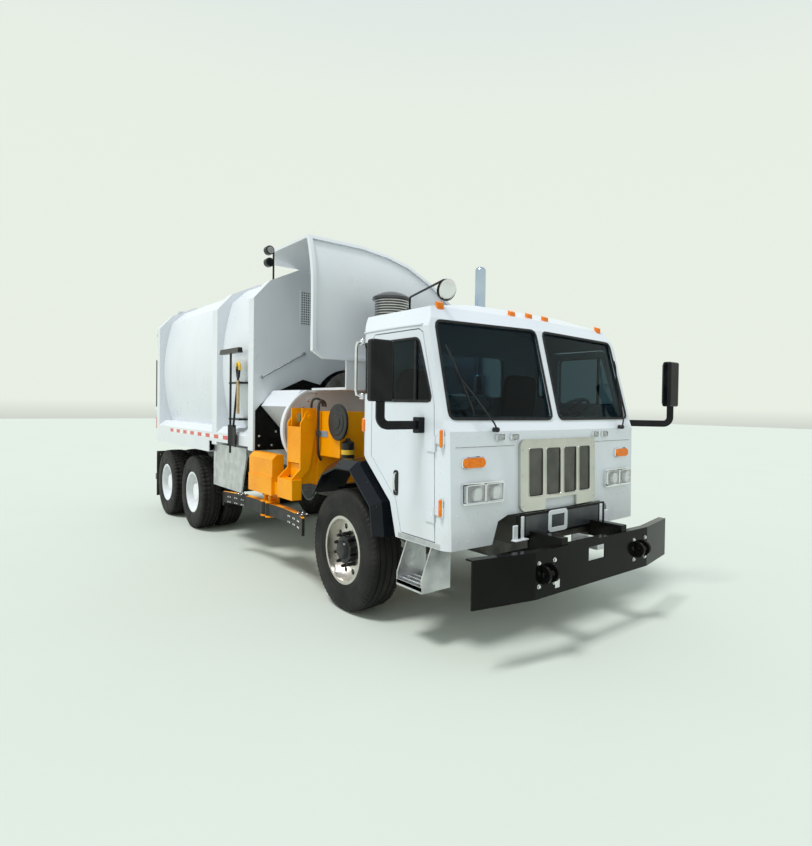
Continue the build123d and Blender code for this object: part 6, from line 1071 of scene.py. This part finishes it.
make_piece("broom_bristles", [repeat(turned(tuft * (0.8, 1), (0, 0, 0), "z", 6), tuft_places)],
           bristle_brown, "chassis")
turn = np.linspace(-0.2, np.pi + 0.2, 19)
grip_line = np.stack([AXLE_X - 2.450 + 0.052 * np.cos(turn), np.full(19, -1.246),
                      2.235 + 0.078 * np.sin(turn)], axis=1)
make_piece("shovel_grip", [carried(grip_line, round_profile(0.0155, 12), up=(0, 1, 0))], grip_yellow,
           "chassis")
handle_line = np.array([(AXLE_X - 2.450, -1.246, 1.70), (AXLE_X - 2.450, -1.246, 2.10)])
make_piece("shovel_handle",
           [carried(spaced(handle_line, 0.05, ring=False), round_profile(0.0175, 12), up=(1, 0, 0))],
           wood, "chassis")
work_lamp_low, work_lamp_high = box_of("work_lights")
lens_disc = np.array([(-0.001, 0.0), (-0.001, 0.040), (0.004, 0.036), (0.006, 0.020), (0.007, 0.0)])
for label, z, finish, slot in (("work_lens_upper", 3.619, clear_lens, "clear_lens"),
                               ("work_lens_lower", 3.479, tinted_glass, "glass")):
    seat = laid_on("work_lights", [(AXLE_X - 1.2, (work_lamp_low[1] + work_lamp_high[1]) / 2, z)],
                   (-1, 0, 0))[0]
    make_piece(label, [turned(lens_disc, seat, "x", 24)], finish, "chassis", smooth=50.0)

# Hopper: the bulkhead behind the chute carries a perforated panel and a steel strut, its black
# guard is held by bolts, and a worn steel screw packs the refuse into the body.
packer_steel = mottled("worn_steel", (0.30, 0.28, 0.26), 0.4, ((0.22, 0.19, 0.16), (0.42, 0.40, 0.38)), 5.0,
                       metallic=0.9, shine=(12.0, 0.3, 0.6))
dress(packer_steel, "packer_screw")
bulkhead_x = laid_on("body_shell", [(AXLE_X - 1.2, -0.55, 2.95)], (-1, 0, 0))[0][0]
panel = block((bulkhead_x - 0.001, -0.662, 2.775), (bulkhead_x + 0.006, -0.443, 3.195), 0.002)
# The panel is not pierced: its holes are black discs laid on it, painted shade for the dark inside the
# perforations.
column, row = np.meshgrid(np.arange(7), np.arange(14), indexing="ij")
hole_places = np.stack([np.full(98, bulkhead_x + 0.006), -0.635 + column.ravel() * 0.0277,
                        2.800 + row.ravel() * 0.0285], axis=1)
hole = np.array([(-0.001, 0.0), (-0.001, 0.009), (0.001, 0.009), (0.0012, 0.0)])
make_piece("vent_panel", [panel], body_paint, "chassis")
make_piece("vent_holes", [repeat(turned(hole, (0, 0, 0), "x", 12), hole_places)], gasket_rubber, "chassis")
strut_line = np.array([(AXLE_X - 2.02, -1.13, 2.13), (AXLE_X - 2.02, -0.62, 2.43)])
strut_forms = [carried(spaced(strut_line, 0.05, ring=False), round_profile(0.011, 12), up=(1, 0, 0))]
for end in strut_line:
    strut_forms.append(turned(np.array([(-0.030, 0.0), (-0.030, 0.022), (0.012, 0.020), (0.014, 0.0)]), end,
                              "x", 20))
make_piece("bulkhead_strut", strut_forms, bright_steel, "chassis")
guard_spots = ((-1.15, 1.34), (-1.15, 1.45), (-0.95, 1.50), (-0.75, 1.55), (-0.55, 1.60), (-0.40, 1.75),
               (-0.40, 1.95), (-1.0, 1.34), (-0.8, 1.34), (-0.6, 1.34))
guard_starts = np.array([(AXLE_X - 1.0, y, z) for y, z in guard_spots])
guard_seats = laid_on("bulkhead_guard", guard_starts, (-1, 0, 0))
guard_seats = guard_seats[guard_seats[:, 0] < AXLE_X - 1.9]
make_piece("guard_bolts", [repeat(turned(bolt_head * 0.8, (0, 0, 0), "x", 10), guard_seats)], bright_steel,
           "chassis")
rim_starts = np.array([(AXLE_X - 0.8, -0.985 * math.cos(a) - 0.02,
                        1.70 + 0.42 * math.sin(a)) for a in np.linspace(-0.5, 0.6, 7)])
rim_seats = laid_on("hopper_trough", rim_starts, (-1, 0, 0))
rim_seats = rim_seats[rim_seats[:, 0] < AXLE_X - 1.1]
make_piece("trough_fittings", [repeat(turned(bolt_head, (0, 0, 0), "x", 12), rim_seats)], bright_steel,
           "chassis")

# Cart lifter: welded plate and tube in orange-yellow machine paint, with old grease on it. Its
# fingers have orange flanges over black rubber faces, with bolted pads. Chromed rods drive it, and
# a valve box, a round hose cover and an oil can with a yellow band sit behind it.
orange_paint, tree, shader = new_finish("orange_lifter_paint", (0.90, 0.34, 0.004), 0.35)
shader.inputs["Specular IOR Level"].default_value = 0.12
place, mix = spread_colour(tree, shader, (0.84, 0.29, 0.001), (0.92, 0.37, 0.003), 2.5)
spread_roughness(tree, shader, place, 9.0, 0.22, 0.42)
fine_bump(tree, shader, place, 150.0, 0.06)
grease_map = add_node(tree, "ShaderNodeTexNoise", Scale=11.0, Detail=6.0, Roughness=0.7)
grease_sort = add_node(tree, "ShaderNodeMapRange")
grease_sort.inputs["From Min"].default_value = 0.62
grease_sort.inputs["From Max"].default_value = 0.80
grease_sort.inputs["To Max"].default_value = 0.15
grease = add_node(tree, "ShaderNodeMix", data_type="RGBA")
grease.inputs["B"].default_value = (0.20, 0.10, 0.03, 1)
tree.links.new(place.outputs["Object"], grease_map.inputs["Vector"])
tree.links.new(grease_map.outputs["Fac"], grease_sort.inputs["Value"])
tree.links.new(grease_sort.outputs["Result"], grease.inputs["Factor"])
tree.links.new(mix.outputs["Result"], grease.inputs["A"])
tree.links.new(grease.outputs["Result"], shader.inputs["Base Color"])
dress(orange_paint, "lifter_base", "reach_carriage", "lift_arm", "gripper_frame")
finger_finish, tree, shader = new_finish("finger_finish", (0.02, 0.02, 0.02), 0.5)
place, mix = spread_colour(tree, shader, (0.012, 0.012, 0.012), (0.03, 0.028, 0.026), 10.0)
shader.inputs["Specular IOR Level"].default_value = 0.3
finger_split = add_node(tree, "ShaderNodeSeparateXYZ")
finger_level = add_node(tree, "ShaderNodeMath", operation="ABSOLUTE")
finger_pick = add_node(tree, "ShaderNodeMath", operation="GREATER_THAN")
finger_pick.inputs[1].default_value = 0.6
finger_mix = add_node(tree, "ShaderNodeMix", data_type="RGBA")
finger_mix.inputs["B"].default_value = (0.90, 0.34, 0.004, 1)
tree.links.new(place.outputs["Normal"], finger_split.inputs["Vector"])
tree.links.new(finger_split.outputs["Z"], finger_level.inputs[0])
tree.links.new(finger_level.outputs[0], finger_pick.inputs[0])
tree.links.new(finger_pick.outputs[0], finger_mix.inputs["Factor"])
tree.links.new(mix.outputs["Result"], finger_mix.inputs["A"])
tree.links.new(finger_mix.outputs["Result"], shader.inputs["Base Color"])
dress(finger_finish, "finger_front", "finger_rear")
pad_rubber = mottled("pad_rubber", (0.02, 0.02, 0.02), 0.7, ((0.016, 0.016, 0.016), (0.05, 0.045, 0.04)),
                     14.0, grain=(200.0, 0.2))
wear_yellow = mottled("wear_pad", (0.16, 0.13, 0.02), 0.5, ((0.13, 0.11, 0.015), (0.19, 0.15, 0.03)), 20.0)

finger_bolt = np.array([(-0.003, 0.0), (-0.003, 0.013), (0.004, 0.012), (0.008, 0.008), (0.009, 0.0)])
face_bolt = np.array([(0.002, 0.0), (0.002, 0.009), (-0.002, 0.009), (-0.004, 0.005), (-0.004, 0.0)])
for label, reach in (("rear", (-2.56, -2.26)), ("front", (-1.00, -0.70))):
    node = f"finger_{label}"
    starts = np.array([(AXLE_X + x, -1.255, 1.2) for x in reach])
    tops = laid_on(node, starts, (0, 0, -1))
    tops = tops[tops[:, 2] < 0.80]
    pads = [block(top - (0.080, 0.045, 0.002), top + (0.080, 0.045, 0.012), 0.003) for top in tops]
    head_spots = np.array([(x, y, 0.012) for x in (-0.045, 0.045) for y in (-0.025, 0.025)])
    heads = np.concatenate([top + head_spots for top in tops])
    make_piece(f"finger_pads_{label}", pads, pad_rubber, node)
    face_x = [x + beside for x in (*reach, sum(reach) / 2) for beside in (-0.022, 0.022)]
    spots = [(AXLE_X + x, -1.9, z) for x in face_x for z in (0.635, 0.695)]
    landed = laid_on(node, spots, (0, 1, 0))
    landed = landed[landed[:, 1] > -1.329]
    if len(landed):
        face_bolts = repeat(turned(face_bolt, (0, 0, 0), "y", 10), landed)
        make_piece(f"finger_face_bolts_{label}", [face_bolts], tape_silver, node)
    make_piece(f"finger_bolts_{label}", [repeat(turned(finger_bolt, (0, 0, 0), "z", 12), heads)],
               bright_steel, node)

rod_forms = []
for y in (-1.205, -1.255):
    rod_line = np.array([(AXLE_X - 1.225, y, 0.975), (AXLE_X - 0.890, y, 0.975)])
    rod_forms.append(carried(spaced(rod_line, 0.05, ring=False), round_profile(0.014, 14), up=(0, 0, 1)))
make_piece("lift_rods", rod_forms, chrome, "lift")
wear_pad = block((AXLE_X - 1.105, -1.135, 1.645), (AXLE_X - 1.020, -1.108, 1.735), 0.004)
make_piece("wear_pads", [wear_pad], wear_yellow, "reach")

valve_band = block((AXLE_X - 0.955, -0.9935, 1.500), (AXLE_X - 0.700, -0.989, 1.560), 0.001)
band_grey = mottled("band_grey_blue", (0.22, 0.28, 0.33), 0.4, ((0.18, 0.24, 0.29), (0.28, 0.34, 0.38)),
                    14.0)
make_piece("valve_box_band", [valve_band], band_grey, "chassis")
disc = np.array([(0.012, 0.0), (0.012, 0.178), (0.004, 0.180), (-0.006, 0.180), (-0.012, 0.172),
                 (-0.012, 0.128), (-0.018, 0.122),
                 (-0.018, 0.070), (-0.024, 0.064), (-0.026, 0.0)])
make_piece("hose_disc", [turned(disc, (AXLE_X - 0.470, -1.006, 1.660), "y", 56)], black_plastic, "chassis")
canister = np.array([(0.0, 0.0), (0.0, 0.050), (0.012, 0.062), (0.170, 0.062), (0.186, 0.050),
                     (0.196, 0.024), (0.214, 0.022), (0.214, 0.0)])
make_piece("oil_canister", [turned(canister, (AXLE_X - 0.400, -0.935, 1.290), "z", 28)], black_plastic,
           "chassis")
canister_band = np.array([(0.060, 0.0615), (0.060, 0.0635), (0.105, 0.0635), (0.105, 0.0615)])
make_piece("canister_band", [turned(canister_band, (AXLE_X - 0.400, -0.935, 1.290), "z", 28)[:2] + ([],)],
           grip_yellow, "chassis")

# Hydraulic hoses: black rubber with crimped steel ends, looped between the valve box and the
# beam, long enough for the carriage's travel inside their guard.
hose_rubber = mottled("hose_rubber", (0.015, 0.015, 0.016), 0.5,
                      ((0.012, 0.012, 0.013), (0.03, 0.03, 0.03)), 40.0)


def hose(name, route, body, diameter):
    """A rubber hose as one smooth spline through its route."""
    curve = bpy.data.curves.new(name, "CURVE")
    curve.dimensions = "3D"
    curve.bevel_depth = diameter / 2
    curve.bevel_resolution = 3
    curve.resolution_u = 10
    spline = curve.splines.new("NURBS")
    spline.points.add(len(route) - 1)
    route = np.asarray(route, float) + (AXLE_X, 0, 0)
    spline.points.foreach_set("co", np.column_stack([route, np.ones(len(route))]).ravel())
    spline.order_u = 3
    spline.use_endpoint_u = True
    curve.use_fill_caps = True
    curve.materials.append(hose_rubber)
    piece = bpy.data.objects.new(name, curve)
    bpy.context.scene.collection.objects.link(piece)
    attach(piece, body)
    return piece


hose("hose_upper",
     [(-0.93, -0.93, 1.805), (-0.93, -0.93, 1.86), (-0.935, -1.00, 1.90), (-0.99, -1.03, 1.86),
      (-1.00, -1.02, 1.72), (-0.995, -1.01, 1.55), (-0.99, -0.985, 1.40), (-0.985, -0.96, 1.33)],
     "chassis", 0.026)
hose("hose_lower",
     [(-0.87, -0.93, 1.805), (-0.87, -0.93, 1.85), (-0.86, -0.99, 1.88), (-0.845, -1.022, 1.82),
      (-0.84, -1.024, 1.68), (-0.845, -1.020, 1.50), (-0.86, -1.015, 1.36), (-0.885, -0.99, 1.29),
      (-0.915, -0.95, 1.245)],
     "chassis", 0.026)
